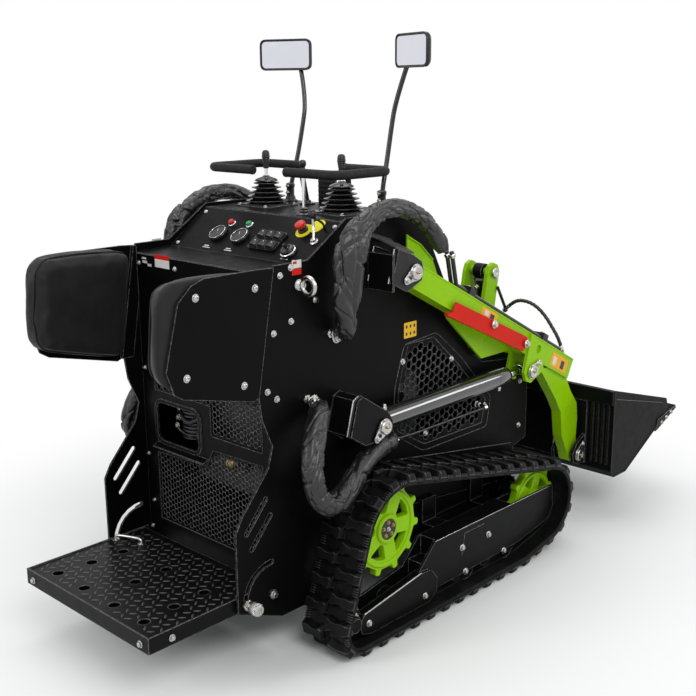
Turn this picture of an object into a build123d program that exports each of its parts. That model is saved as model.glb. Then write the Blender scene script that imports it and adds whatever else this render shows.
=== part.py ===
from build123d import *
import math
import os

# A stand-on mini skid steer loader on rubber tracks, in millimetres.
# In this file x runs forward from the drive sprocket's axis, y to the left and z up from the ground.
# put() moves each finished piece back by X_MID, so that the origin ends up under the loader's middle.

# Overall
REAR_X = -776
BUCKET_TIP_X = 1682
X_MID = (REAR_X + BUCKET_TIP_X) / 2
SIDES = (("left", 1), ("right", -1))

# Clearances: between a wheel and what it runs on or in, and between a piece and its seat
RUN_GAP = 0.5
SEAT = 0.3

# Widths, outwards from the loader's centre plane
BODY_Y = 320
SIDE_T = 6
SHEET = 3
BODY_IN = BODY_Y - SIDE_T
PLATFORM_GAP = 8
PLATFORM_HALF = BODY_IN - PLATFORM_GAP
TRACK_GAP = 25
TRACK_WIDTH = 180
TRACK_INNER_Y = BODY_Y + TRACK_GAP
TRACK_OUTER_Y = TRACK_INNER_Y + TRACK_WIDTH
TRACK_MID_Y = TRACK_INNER_Y + TRACK_WIDTH / 2
FRAME_WIDTH = 75
FRAME_INNER_Y = TRACK_MID_Y - 35
FRAME_OUTER_Y = FRAME_INNER_Y + FRAME_WIDTH
ARM_GAP = 20
ARM_WIDTH = 60
ARM_IN = BODY_Y + ARM_GAP
ARM_OUT = ARM_IN + ARM_WIDTH
ARM_Y = ARM_IN + ARM_WIDTH / 2

# Running gear: each wheel is (x, z, radius that the belt's inside runs on)
SPROCKET = (0, 329, 150)
FRONT_IDLER = (781, 190, 123)
REAR_IDLER = (-178, 92, 54)
BELT = 16
LUG = 22
LUG_COUNT = 38
LUG_BASE = 46
LUG_TIP = 30
ROLLER_R = 40
ROLLER_XS = (30, 185, 340, 495, 640)
LAST_ROLLER = (ROLLER_XS[-1], BELT + LUG + ROLLER_R, ROLLER_R)
SPROCKET_TEETH = 11
SPROCKET_TURN = -7.8
WINDOW_TURN = 29.7
SPROCKET_TIP_R = SPROCKET[2] - 5
SPROCKET_ROOT_R = SPROCKET_TIP_R - 21
SPROCKET_T = 28
AXLE_R = 30
FRAME_T = 8
ARM_PLATE_T = 12
ROLLER_AXLE_R = 12
IDLER_BOSS_R = 22
FRAME_TOP = 228
FRAME_LOW = 88

# Body sheet metal
CONSOLE_LOW = (-188, 1155)
CONSOLE_HIGH = (-32, 1257)
DECK_TOP = 1247
PANEL_LOW = (CONSOLE_LOW[0] + 5, 1135)
PANEL_HIGH = (CONSOLE_HIGH[0] - 3, DECK_TOP - SHEET)
DECK_FRONT_X = 290
GUARD_X = -480
REAR_PANEL_X = -316
LEDGE_X = -318
NOSE_X = 914
BELLY_Z = 215
BELLY_FRONT_X = 830
HINGE = (-354, 203)
ARC_R = 99
SLOT_W = 16

# Platform
PLATFORM_TOP = 222
PLATFORM_RIM = 226
PLATFORM_LOW = 178
PLATFORM_FRONT = -350
PLATE_T = 4

# Boom
PIVOT = (156, 1087)
ARM_UP = 36
ARM_DOWN = 40
ARM_END = (1076, 606)
LIFT_PIN = (803, 651)
LIFT_BASE = (20, 640)
BUCKET_PIN = (1130, 260)
TILT_TOP = (1050, 929)
TILT_LOW = (1136, 415)
EAR_Y = 60
EAR_T = 16
LUG_T = 12
LEG_INSET = 10
PIN_R = 16
REST_GAP = 6

# Cylinders
LIFT_BARREL_R = 30
LIFT_ROD_R = 15
LIFT_BARREL_END = 655
LIFT_ROD_IN = 60
TILT_BARREL_R = 30
TILT_ROD_R = 14
TILT_BARREL_END = 400
TILT_ROD_IN = 70
EYE_R = 30
EYE_W = 44
ROD_EYE_R = 25

# Bucket
BUCKET_HALF = 530
BUCKET_BACK = 1183
COUPLER_T = 10
BUCKET_T = 8
COUPLER_HALF = 420
RAIL_Z = 466
RAIL_T = 14
HANDLE_Y = -300
BUCKET_SIDE = ((BUCKET_BACK, 521), (1597, 402), (1612, 366), (1544, 307), (1291, 175), (1204, 175),
               (BUCKET_BACK, 200))


def put(name, shape):
    os.makedirs("parts", exist_ok=True)
    export_step(Pos(-X_MID, 0, 0) * shape, f"parts/{name}.step")


def slab(points, y0, y1):
    """A polygon of (x, z) points, extruded from y0 to y1."""
    face = make_face(Polyline(*[(x, y0, z) for x, z in points], close=True))
    return extrude(face, amount=y1 - y0, dir=(0, 1, 0))


def block(x0, x1, y0, y1, z0, z1):
    return Pos((x0 + x1) / 2, (y0 + y1) / 2, (z0 + z1) / 2) * Box(x1 - x0, y1 - y0, z1 - z0)


def bar(start, end, radius):
    """A round bar between two points."""
    path = Vector(*end) - Vector(*start)
    return Solid.make_cylinder(radius, path.length, Plane(origin=start, z_dir=path))


def cross_bar(point, y0, y1, radius):
    """A round bar along y at an (x, z) point."""
    return bar((point[0], y0, point[1]), (point[0], y1, point[1]), radius)


def both(shape):
    return shape + mirror(shape, about=Plane.XZ)


def side_of(shape, sign):
    """The shape as made for the left side, or its mirror image for the right."""
    return shape if sign > 0 else mirror(shape, about=Plane.XZ)


def along(start, end, distance):
    """The (x, z) point at a distance from start towards end."""
    length = math.dist(start, end)
    return tuple(a + (b - a) * distance / length for a, b in zip(start, end))


def turned(point, centre, angle):
    """An (x, z) point turned about a centre, anticlockwise seen with x to the right."""
    x = point[0] - centre[0]
    z = point[1] - centre[1]
    a = math.radians(angle)
    return (centre[0] + x * math.cos(a) - z * math.sin(a), centre[1] + x * math.sin(a) + z * math.cos(a))


def bent(points, t, y0, y1):
    """A sheet of thickness t that follows (x, z) points and lies to their right."""
    normals = []
    for a, b in zip(points, points[1:]):
        length = math.dist(a, b)
        normals.append(((b[1] - a[1]) / length, -(b[0] - a[0]) / length))
    inner = []
    for i, (x, z) in enumerate(points):
        before = normals[max(i - 1, 0)]
        after = normals[min(i, len(normals) - 1)]
        mid = (before[0] + after[0], before[1] + after[1])
        k = t / (1 + before[0] * after[0] + before[1] * after[1])
        inner.append((x + mid[0] * k, z + mid[1] * k))
    return slab(list(points) + inner[::-1], y0, y1)


# Track: a belt round four wheels

def belt_path(wheels, offset):
    """Segments (kind, data, length) of the line that stands off the wheels by offset, anticlockwise."""
    count = len(wheels)
    normals = []
    for i, (x1, z1, r1) in enumerate(wheels):
        x2, z2, r2 = wheels[(i + 1) % count]
        length = math.hypot(x2 - x1, z2 - z1)
        u = ((x2 - x1) / length, (z2 - z1) / length)
        k = (r1 - r2) / length
        s = math.sqrt(1 - k * k)
        normals.append((k * u[0] + s * u[1], k * u[1] - s * u[0]))
    path = []
    for i, (x1, z1, r1) in enumerate(wheels):
        x2, z2, r2 = wheels[(i + 1) % count]
        n_in, n_out = normals[i - 1], normals[i]
        a_in = math.atan2(n_in[1], n_in[0])
        turn = (math.atan2(n_out[1], n_out[0]) - a_in) % (2 * math.pi)
        r = r1 + offset
        path.append(("arc", (x1, z1, r, a_in, turn), r * turn))
        p = (x1 + r * n_out[0], z1 + r * n_out[1])
        q = (x2 + (r2 + offset) * n_out[0], z2 + (r2 + offset) * n_out[1])
        path.append(("line", (p, q, n_out), math.dist(p, q)))
    return path


def path_point(path, s, height=0.0):
    """The (x, z) point at distance s along the path, lifted off it by height."""
    s = s % sum(part[2] for part in path)
    for kind, data, length in path:
        if s > length:
            s -= length
            continue
        if kind == "arc":
            x, z, r, start, turn = data
            a = start + turn * s / length
            return (x + (r + height) * math.cos(a), z + (r + height) * math.sin(a))
        p, q, n = data
        x, z = along(p, q, s)
        return (x + n[0] * height, z + n[1] * height)


def path_wire(path, y):
    edges = []
    for kind, data, length in path:
        if kind == "line":
            edges.append(Edge.make_line((data[0][0], y, data[0][1]), (data[1][0], y, data[1][1])))
            continue
        x, z, r, start, turn = data
        angles = (start, start + turn / 2, start + turn)
        spots = [(x + r * math.cos(a), y, z + r * math.sin(a)) for a in angles]
        edges.append(Edge.make_three_point_arc(*spots))
    return Wire(edges)


WHEELS = (REAR_IDLER, LAST_ROLLER, FRONT_IDLER, SPROCKET)
INNER_PATH = belt_path(WHEELS, 0)
OUTER_PATH = belt_path(WHEELS, BELT)
LUG_PITCH = sum(part[2] for part in OUTER_PATH) / LUG_COUNT


def lug_row(y0, y1, phase):
    """The belt with one row of lugs in its outline, between y0 and y1."""
    outline = []
    for i in range(LUG_COUNT):
        middle = (i + phase) * LUG_PITCH
        for shift, height in ((-LUG_BASE / 2, 0), (-LUG_TIP / 2, LUG), (LUG_TIP / 2, LUG), (LUG_BASE / 2, 0)):
            outline.append(path_point(OUTER_PATH, middle + shift, height))
    hole = extrude(make_face(path_wire(INNER_PATH, y0 - 1)), amount=y1 - y0 + 2, dir=(0, 1, 0))
    return slab(outline, y0, y1) - hole


def track():
    return lug_row(TRACK_INNER_Y, TRACK_MID_Y, 0) + lug_row(TRACK_MID_Y, TRACK_OUTER_Y, 0.5)


def sprocket():
    x, z, _ = SPROCKET
    y = TRACK_MID_Y - SPROCKET_T / 2
    step = 360 / SPROCKET_TEETH
    outline = []
    for i in range(SPROCKET_TEETH):
        tooth = ((-10, SPROCKET_ROOT_R), (-4, SPROCKET_TIP_R), (4, SPROCKET_TIP_R), (10, SPROCKET_ROOT_R))
        for angle, r in tooth:
            a = math.radians(SPROCKET_TURN + i * step + angle)
            outline.append((x + r * math.cos(a), z + r * math.sin(a)))
    wheel = slab(outline, y, y + SPROCKET_T)
    for i in range(5):
        corners = ((50, -9), (95, -40), (104, 0), (95, 40), (50, 9))
        window = [turned((x + r, z + h), (x, z), WINDOW_TURN + 72 * i) for r, h in corners]
        wheel -= slab(window, y - 1, y + SPROCKET_T + 1)
    wheel += cross_bar((x, z), y + SPROCKET_T, y + SPROCKET_T + 5, SPROCKET_ROOT_R - 8)
    wheel -= cross_bar((x, z), y + SPROCKET_T, y + SPROCKET_T + 6, SPROCKET_ROOT_R - 16)
    wheel += cross_bar((x, z), y - 30, y + SPROCKET_T + 12, 46)
    return wheel + cross_bar((x, z), BODY_Y + SEAT, y, AXLE_R)


def front_idler():
    x, z, r = FRONT_IDLER
    y = TRACK_MID_Y
    wheel = cross_bar((x, z), y - 24, y + 24, r - RUN_GAP)
    for i in range(6):
        corners = ((44, -10), (98, -32), (98, 32), (44, 10))
        window = [turned((x + a, z + h), (x, z), 60 * i) for a, h in corners]
        wheel -= slab(window, y - 25, y + 25)
    wheel += cross_bar((x, z), FRAME_INNER_Y + FRAME_T, FRAME_OUTER_Y - FRAME_T, 26)
    return wheel


def rollers():
    """The bottom rollers and the rear idler, on their axles."""
    inner, outer = FRAME_INNER_Y + FRAME_T, FRAME_OUTER_Y - FRAME_T
    x, z, r = REAR_IDLER
    made = cross_bar((x, z), inner + 2, outer - ARM_PLATE_T - 2, r - RUN_GAP)
    made += cross_bar((x, z), inner, outer - ARM_PLATE_T, ROLLER_AXLE_R)
    for x in ROLLER_XS:
        z = BELT + LUG + ROLLER_R
        made += cross_bar((x, z), inner + 2, outer - ARM_PLATE_T - 2, ROLLER_R - RUN_GAP)
        made += cross_bar((x, z), inner, outer - ARM_PLATE_T, ROLLER_AXLE_R)
    return made


def track_frame():
    """Two long plates joined by a box, with the arm that carries the rear idler."""
    low = FRAME_LOW
    outline = ((200, FRAME_TOP), (866, FRAME_TOP), (876, low + 60), (850, low + 18), (660, low - 14),
               (150, low - 24), (110, low), (120, 150))
    inner, outer = FRAME_INNER_Y + FRAME_T, FRAME_OUTER_Y - FRAME_T
    plates = slab(outline, outer, FRAME_OUTER_Y) + slab(outline, FRAME_INNER_Y, inner)
    plates += slab(((210, 150), (620, 150), (620, FRAME_TOP), (210, FRAME_TOP)), FRAME_INNER_Y, FRAME_OUTER_Y)
    arm = ((165, 148), (120, 150), (-140, 110), (-162, 86), (-150, 52), (-110, 40), (165, 40), (192, 62),
           (196, 110))
    plates += slab(arm, outer - ARM_PLATE_T, FRAME_OUTER_Y + ARM_PLATE_T) + slab(arm, FRAME_INNER_Y, inner)
    x, z, r = REAR_IDLER
    plates += cross_bar((x, z), outer - ARM_PLATE_T, FRAME_OUTER_Y + ARM_PLATE_T + 4, IDLER_BOSS_R)
    plates += cross_bar((x, z), FRAME_INNER_Y, inner, IDLER_BOSS_R)
    plates += block(150, 230, FRAME_INNER_Y, FRAME_OUTER_Y, 120, 165)
    for x in (300, 560):
        plates += block(x, x + 70, BODY_Y + SEAT, FRAME_INNER_Y + 1, 150, 220)
        plates += block(x, x + 70, BODY_Y + SEAT, TRACK_INNER_Y - REST_GAP, 150, BELLY_Z + 85)
    return plates


# Body

SIDE_OUTLINE = (
    (GUARD_X, 184), (-314, 116), (-205, 117), (-80, BELLY_Z - 8), (BELLY_FRONT_X, BELLY_Z),
    (BELLY_FRONT_X + 6, 345), (NOSE_X, 364), (NOSE_X, 565), (830, 680), (634, 703), (560, 760),
    (DECK_FRONT_X, 1257), CONSOLE_HIGH, CONSOLE_LOW, (LEDGE_X, 1155),
    (-382, 800), (-372, 730), (-336, 645), (-354, 584), (-457, 466), (GUARD_X, 425))
GRILLE_SIDE = ((246, 836), (372, 836), (490, 732), (660, 566), (642, 482), (330, 484), (196, 560), (200, 700))
GRILLE_LEAN = -8
SIDE_CELL = (28.5, 4)
REAR_CELL = (17.6, 2)
REAR_GRILLE_Y = BODY_IN - 62
UPPER_GRILLE = ((REAR_GRILLE_Y, 746), (-REAR_GRILLE_Y, 750), (-REAR_GRILLE_Y, 603), (-22, 603), (-22, 697),
                (REAR_GRILLE_Y, 697))
LOWER_GRILLE = ((REAR_GRILLE_Y, 262), (REAR_GRILLE_Y, 488), (6, 500), (-28, 558), (-REAR_GRILLE_Y, 563),
                (-REAR_GRILLE_Y, 262))
WINDOW = (REAR_GRILLE_Y - 216, REAR_GRILLE_Y - 10, 536, 660)
WINDOW_R = 26


def inside(point, outline, margin):
    """True if a flat point lies in a polygon, at least a margin from its sides."""
    within = False
    for (ax, ay), (bx, by) in zip(outline, outline[1:] + outline[:1]):
        if (ay > point[1]) != (by > point[1]) and point[0] < ax + (bx - ax) * (point[1] - ay) / (by - ay):
            within = not within
        t = ((point[0] - ax) * (bx - ax) + (point[1] - ay) * (by - ay)) / ((bx - ax) ** 2 + (by - ay) ** 2)
        t = min(max(t, 0), 1)
        if math.dist(point, (ax + (bx - ax) * t, ay + (by - ay) * t)) < margin:
            return False
    return within


def cells(outline, cell, start, lean):
    """Hexagons, as lists of flat points, that fill an outline: cell is (pitch, web)."""
    pitch, web = cell
    r = (pitch - web) / math.sqrt(3)
    reach = range(-40, 41)
    made = []
    for i in reach:
        for j in reach:
            spot = (start[0] + i * pitch * math.sqrt(3) / 2, start[1] + (j + i % 2 / 2) * pitch)
            middle = turned(spot, start, lean)
            if inside(middle, outline, pitch / 2):
                made.append([turned((middle[0] + r, middle[1]), middle, lean + 60 * k) for k in range(6)])
    return made


def pierced(rim, holes, place, amount, way):
    """A sheet with many holes: place puts a flat point in space, and way is across the sheet."""
    outer = Wire.make_polygon([place(*p) for p in rim], close=True)
    inner = [Wire.make_polygon([place(*p) for p in hole], close=True) for hole in holes]
    return extrude(Face(outer, inner), amount=amount, dir=way)


def slot(start, end, width):
    """A cutter for a straight slot with round ends in the side plates."""
    reach = (BODY_IN - 20, BODY_Y + 20)
    dx, dz = end[0] - start[0], end[1] - start[1]
    length = math.hypot(dx, dz)
    nx, nz = -dz / length * width / 2, dx / length * width / 2
    quad = ((start[0] + nx, start[1] + nz), (end[0] + nx, end[1] + nz), (end[0] - nx, end[1] - nz),
            (start[0] - nx, start[1] - nz))
    return slab(quad, *reach) + cross_bar(start, *reach, width / 2) + cross_bar(end, *reach, width / 2)


def side_panel():
    plate = slab(SIDE_OUTLINE, BODY_IN, BODY_Y)
    plate -= slot((-369, 497), (-441, 416), SLOT_W)
    plate -= slot((-353, 444), (-424, 364), SLOT_W)
    spots = [turned((HINGE[0] - ARC_R, HINGE[1]), HINGE, -a) for a in (2, 17, 32, 47, 62, 77, 91)]
    for a, b in zip(spots, spots[1:]):
        plate -= slot(a, b, SLOT_W)
    plate -= cross_bar(HINGE, BODY_IN - 20, BODY_Y + 20, 8)
    plate -= slab(GRILLE_SIDE, BODY_IN - 1, BODY_Y + 1)
    return plate


def side_grille():
    """The hexagon sheet in the left side panel's opening."""
    holes = cells(GRILLE_SIDE, SIDE_CELL, (250, 767), GRILLE_LEAN)
    return pierced(GRILLE_SIDE, holes, lambda x, z: (x, BODY_IN, z), SIDE_T - 1, (0, 1, 0))


def window_bar(x0, x1, grow):
    """A block with the engine window's rounded outline, larger by grow all round."""
    y0, y1, z0, z1 = WINDOW
    outline = RectangleRounded(y1 - y0 + 2 * grow, z1 - z0 + 2 * grow, WINDOW_R + grow)
    middle = Plane(origin=(x0, (y0 + y1) / 2, (z0 + z1) / 2), x_dir=(0, 1, 0), z_dir=(1, 0, 0))
    return extrude(middle * outline, amount=x1 - x0)


def rear_panel():
    """The upright sheet between the sides, with its engine window and grille openings."""
    front, back = REAR_PANEL_X, REAR_PANEL_X + SHEET
    rim = ((-BODY_IN, 150), (BODY_IN, 150), (BODY_IN, 1125), (-BODY_IN, 1125))
    panel = pierced(rim, (UPPER_GRILLE, LOWER_GRILLE), lambda y, z: (front, y, z), SHEET, (1, 0, 0))
    panel += window_bar(front - 4, back, 12)
    y0, y1, z0, _ = WINDOW
    shelf = ((front, z0 - 12), (front - 22, z0 - 20), (front - 22, z0 - 24), (front, z0 - 17))
    lip = slab(shelf, y0 - 40, y1 + 6)
    return panel + lip - window_bar(front - 5, back + 1, 0)


def rear_grille():
    """The honeycomb sheet behind the rear panel's openings."""
    start = (-38, 620)
    holes = cells(UPPER_GRILLE, REAR_CELL, start, 0) + cells(LOWER_GRILLE, REAR_CELL, start, 0)
    edge = REAR_GRILLE_Y + 8
    rim = ((-edge, 250), (edge, 250), (edge, 758), (-edge, 758))
    back = REAR_PANEL_X + SHEET
    sheet = pierced(rim, holes, lambda y, z: (back, y, z), SHEET / 2, (1, 0, 0))
    return sheet - window_bar(back - 1, back + SHEET, 4)


def console_panel():
    return bent(((REAR_PANEL_X, 1128), PANEL_LOW, PANEL_HIGH), SHEET, -BODY_IN, BODY_IN)


def top_deck():
    return block(CONSOLE_HIGH[0], DECK_FRONT_X - 14, -BODY_IN, BODY_IN, DECK_TOP - SHEET, DECK_TOP)


def vent_flap():
    """The ribbed plate that stands at the deck's front end."""
    rear, front = DECK_FRONT_X - 34, DECK_FRONT_X - 24
    flap = block(rear, front, 8, 84, DECK_TOP, DECK_TOP + 82)
    for i in range(5):
        flap += block(rear - 5, rear, 12, 80, DECK_TOP + 10 + 15 * i, DECK_TOP + 16 + 15 * i)
    return flap


def hood():
    points = ((DECK_FRONT_X - 6, DECK_TOP), (556, 757), (632, 698), (828, 675))
    return bent(points, SHEET, -BODY_IN, BODY_IN)


def front_panel():
    points = ((831, 675), (NOSE_X - 4, 563), (NOSE_X - 4, 366))
    return bent(points, SHEET, -BODY_IN, BODY_IN)


def belly_pan():
    points = ((REAR_PANEL_X + 6, 150), (-205, 122), (-80, BELLY_Z - 2), (BELLY_FRONT_X - 4, BELLY_Z + 6),
              (BELLY_FRONT_X + 2, 351), (NOSE_X - 12, 367))
    return bent(points[::-1], SHEET, -BODY_IN, BODY_IN)


def engine_block():
    return block(-190, 420, -210, 210, 390, 700) + block(-60, 60, -BODY_IN, BODY_IN, 300, 391)


# Brackets that carry the boom and the lift cylinders

def pin_cap(point, y, way):
    """A pin's head with its teardrop keeper on a face at y; the keeper points an angle away, in degrees."""
    x, z = point
    rows = ((0, 21), (14, 17), (34, 10), (43, 0), (34, -10), (14, -17), (0, -21))
    plate = slab([turned((x + a, z + b), point, way) for a, b in rows], y, y + 5)
    bolt = turned((x + 33, z), point, way)
    return plate + cross_bar(point, y, y + 10, 21) + cross_bar(bolt, y, y + 10, 7)


MOUNT_IN = ARM_OUT + REST_GAP
MOUNT_OUT = MOUNT_IN + LUG_T


def boom_mount():
    """The box beside the body that holds the boom's pivot pin."""
    x, z = PIVOT
    outer = slab(((58, 1064), (84, 1164), (150, 1140), (x + 34, z + 28), (x + 42, z), (x + 34, z - 28),
                  (122, 1032)),
                 MOUNT_IN, MOUNT_OUT)
    closing = block(58, 66, BODY_Y, MOUNT_OUT, 1040, 1150)
    pin = cross_bar(PIVOT, BODY_Y, MOUNT_OUT, PIN_R)
    return outer + closing + pin + pin_cap(PIVOT, MOUNT_OUT, 205)


def lift_mount():
    x, z = LIFT_BASE
    outer = slab(((-92, 742), (-70, 752), (x + 20, z + 42), (x + 42, z + 12), (x + 38, z - 22), (x, z - 42),
                  (-60, 600), (-120, 640)), MOUNT_IN, MOUNT_OUT)
    closing = slab(((-92, 742), (-120, 640), (-113, 638), (-85, 742)), BODY_Y, MOUNT_OUT)
    top = slab(((-92, 742), (-70, 752), (-30, 720), (-34, 712), (-70, 742), (-85, 734)), BODY_Y, MOUNT_OUT)
    pin = cross_bar(LIFT_BASE, BODY_Y, MOUNT_OUT, PIN_R)
    return outer + closing + top + pin + pin_cap(LIFT_BASE, MOUNT_OUT, 220)


# Boom

def arm_point(distance, height):
    """The (x, z) point along the arm's line from its pivot, at a height square to that line."""
    length = math.dist(PIVOT, ARM_END)
    ux, uz = (ARM_END[0] - PIVOT[0]) / length, (ARM_END[1] - PIVOT[1]) / length
    return (PIVOT[0] + ux * distance - uz * height, PIVOT[1] + uz * distance + ux * height)


def boom():
    """Two arms with their legs, lugs, cross tubes and the tilt cylinder's ears."""
    length = math.dist(PIVOT, ARM_END)
    arm = slab((arm_point(0, ARM_UP), arm_point(length, ARM_UP), arm_point(length, -ARM_DOWN),
                arm_point(0, -ARM_DOWN)),
               ARM_IN, ARM_OUT)
    arm += cross_bar(PIVOT, ARM_IN, ARM_OUT, 38)
    arm -= cross_bar(PIVOT, ARM_IN - 1, ARM_OUT + 1, PIN_R + 0.5)
    gusset = ((205, 1085), (206, 1187), (265, 1152), (325, 1098), (373, 1000), (300, 1020))
    arm += slab(gusset, ARM_IN, ARM_IN + 8)
    arm += slab(((404, 930), (404, 897), (590, 728), (770, 727), (800, 760), (600, 860)), ARM_IN, ARM_IN + 10)
    px, pz = LIFT_PIN
    lug = slab(((800, 787), (px - 42, pz + 4), (px - 30, pz - 30), (px, pz - 42), (px + 32, pz - 28),
                (880, 640),
                (870, 735)), 0, LUG_T)
    lug -= cross_bar((px + 42, pz + 72), -1, LUG_T + 1, 15)
    arm += Pos(0, ARM_OUT - 2, 0) * lug
    arm += Pos(0, ARM_IN - LUG_T + 2, 0) * lug
    arm += pin_cap(LIFT_PIN, ARM_OUT - 2 + LUG_T, 30)
    low, high = ARM_IN + LEG_INSET, ARM_OUT - LEG_INSET
    leg = slab(((887, 640), (1002, 498), (1038, 442), (1054, 344), (1098, 262), (1130, 228), (1162, 262),
                (1152, 320), (1156, 391), (1147, 456), (1099, 514), (1066, 570), (1070, 620)), low, high)
    leg += cross_bar(BUCKET_PIN, low, high, 33)
    leg -= cross_bar(BUCKET_PIN, low - 1, high + 1, PIN_R + 0.5)
    arm += leg
    frame = both(arm)
    frame += block(600, 700, -ARM_IN - 5, ARM_IN + 5, 740, 800)
    frame += block(955, 1040, -ARM_IN - 5, ARM_IN + 5, 640, 700)
    tx, tz = TILT_TOP
    ear = slab(((955, 690), (1040, 690), (1060, 780), (tx + 37, tz), (tx + 26, tz + 26), (tx, tz + 37),
                (tx - 26, tz + 26), (tx - 37, tz), (985, 780)), EAR_Y - EAR_T, EAR_Y)
    ear += cross_bar(TILT_TOP, 0, EAR_Y + 6, PIN_R)
    return frame + both(ear)


def boom_tubes():
    """Two steel pipes along the top of each arm, with their clamps."""
    rows = []
    for shift in (0, 20):
        y = ARM_Y - 4 + shift
        start = arm_point(176, 130)
        bend = arm_point(250, ARM_UP + 9)
        end = arm_point(970, ARM_UP + 9)
        pipe = bar((start[0], y, start[1]), (bend[0], y, bend[1]), 7) + Pos(bend[0], y, bend[1]) * Sphere(7)
        rows.append(pipe + bar((bend[0], y, bend[1]), (end[0], y, end[1]), 7))
    pipes = rows[0] + rows[1]
    for distance in (330, 820):
        corners = [arm_point(distance + a, ARM_UP + h) for a, h in ((-15, 0), (15, 0), (15, 26), (-15, 26))]
        pipes += slab(corners, ARM_Y - 18, ARM_Y + 26)
    x, y, z = TILT_HOSE[0]
    low = (x + 6, y + 14, z - 11)
    elbow = bar((x - 52, -EAR_Y - 6 - SEAT, z + 84), low, 6) + Pos(*low) * Sphere(10)
    elbow += bar(low, (x + 0.2, y + 0.5, z - 0.4), 6)
    x, y, z = TILT_HOSE[-1]
    seat = bar((x, y, z - 20), (x, y, z - 5), 9)
    return both(pipes) + elbow + seat


def tilt_hose():
    """The hose that arcs from the tilt cylinder's port to the right arm's front end."""
    return cord(TILT_HOSE, TILT_HOSE_R)


def arm_lock():
    """The red channel that props the boom, bolted along the right arm."""
    y = -ARM_OUT
    web = slab(((345, 935), (362, 966), (762, 783), (768, 765), (744, 740)), y - 16, y - 12)
    flange = slab(((345, 935), (744, 740), (742, 735), (320, 928), (322, 934)), y - 16, y - 1)
    bolts = cross_bar((560, 862), y - 22, y, 9) + cross_bar((752, 762), y - 22, y, 9)
    return web + flange + bolts


# Cylinders: made along the line from the base pin to the rod's pin

def barrel(base, pin, y, radius, end):
    start = along(base, pin, 26)
    stop = along(base, pin, end)
    body = bar((start[0], y, start[1]), (stop[0], y, stop[1]), radius)
    eye = cross_bar(base, y - EYE_W / 2, y + EYE_W / 2, EYE_R)
    body += eye
    return body


def rod(base, pin, y, radius, start, width):
    first = along(base, pin, start)
    last = along(pin, base, 8)
    body = bar((first[0], y, first[1]), (last[0], y, last[1]), radius)
    return body + cross_bar(pin, y - width / 2, y + width / 2, ROD_EYE_R)


def lift_barrel():
    shape = barrel(LIFT_BASE, LIFT_PIN, ARM_Y, LIFT_BARREL_R, LIFT_BARREL_END)
    shape -= cross_bar(LIFT_BASE, ARM_Y - 40, ARM_Y + 40, PIN_R + 0.5)
    start = along(LIFT_BASE, LIFT_PIN, LIFT_ROD_IN - 10)
    stop = along(LIFT_BASE, LIFT_PIN, LIFT_BARREL_END + 1)
    return shape - bar((start[0], ARM_Y, start[1]), (stop[0], ARM_Y, stop[1]), LIFT_ROD_R + 0.2)


def lift_rod():
    return rod(LIFT_BASE, LIFT_PIN, ARM_Y, LIFT_ROD_R, LIFT_ROD_IN, EYE_W)


def tilt_barrel():
    shape = barrel(TILT_TOP, TILT_LOW, 0, TILT_BARREL_R, TILT_BARREL_END)
    shape -= cross_bar(TILT_TOP, -40, 40, PIN_R + 0.5)
    start = along(TILT_TOP, TILT_LOW, TILT_ROD_IN - 10)
    stop = along(TILT_TOP, TILT_LOW, TILT_BARREL_END + 1)
    return shape - bar((start[0], 0, start[1]), (stop[0], 0, stop[1]), TILT_ROD_R + 0.2)


def tilt_rod():
    return rod(TILT_TOP, TILT_LOW, 0, TILT_ROD_R, TILT_ROD_IN, EYE_W)


# Coupler and bucket

def coupler():
    x, z = BUCKET_PIN
    rear = BUCKET_BACK - COUPLER_T
    plate = block(rear, BUCKET_BACK, -COUPLER_HALF, COUPLER_HALF, 215, RAIL_Z - 4)
    plate -= block(rear - 1, BUCKET_BACK + 1, -EYE_W / 2 - REST_GAP, EYE_W / 2 + REST_GAP, 292, 440)
    for y in (ARM_IN - 8, ARM_OUT + 4):
        corners = ((rear, 216), (rear, 330), (x - 10, z + 44), (x - 36, z + 6), (x - 28, z - 26), (x, z - 38))
        ear = slab(corners, y, y + LUG_T)
        if y < ARM_Y:
            ear = Pos(0, -LUG_T, 0) * ear
        plate += both(ear)
    plate += both(cross_bar(BUCKET_PIN, ARM_IN - 20, ARM_OUT + 16, PIN_R))
    plate += both(pin_cap(BUCKET_PIN, ARM_OUT + 16, 55))
    qx, qz = TILT_LOW
    ear = slab(((rear, qz - 70), (rear, RAIL_Z - 4), (qx, qz + 32), (qx - 30, qz + 6), (qx - 26, qz - 20),
                (qx, qz - 36)), 30, 42)
    ear += cross_bar((qx - 2, qz), 42, 52, 18)
    line = ((rear - 70, HANDLE_Y, 447), (rear - 14, HANDLE_Y, 447), (rear - 14, HANDLE_Y, 250))
    handle = FilletPolyline(*line, radius=[12])
    grip = sweep(Plane(origin=handle @ 0, z_dir=handle % 0) * Circle(7), path=handle)
    grip += bar((rear - 14, HANDLE_Y, 240), (rear - 14, HANDLE_Y, 290), 11)
    for z in (300, 385):
        grip += block(rear - 24, rear, HANDLE_Y - 12, HANDLE_Y + 12, z - 6, z + 6)
    return plate + both(ear) + grip


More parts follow.
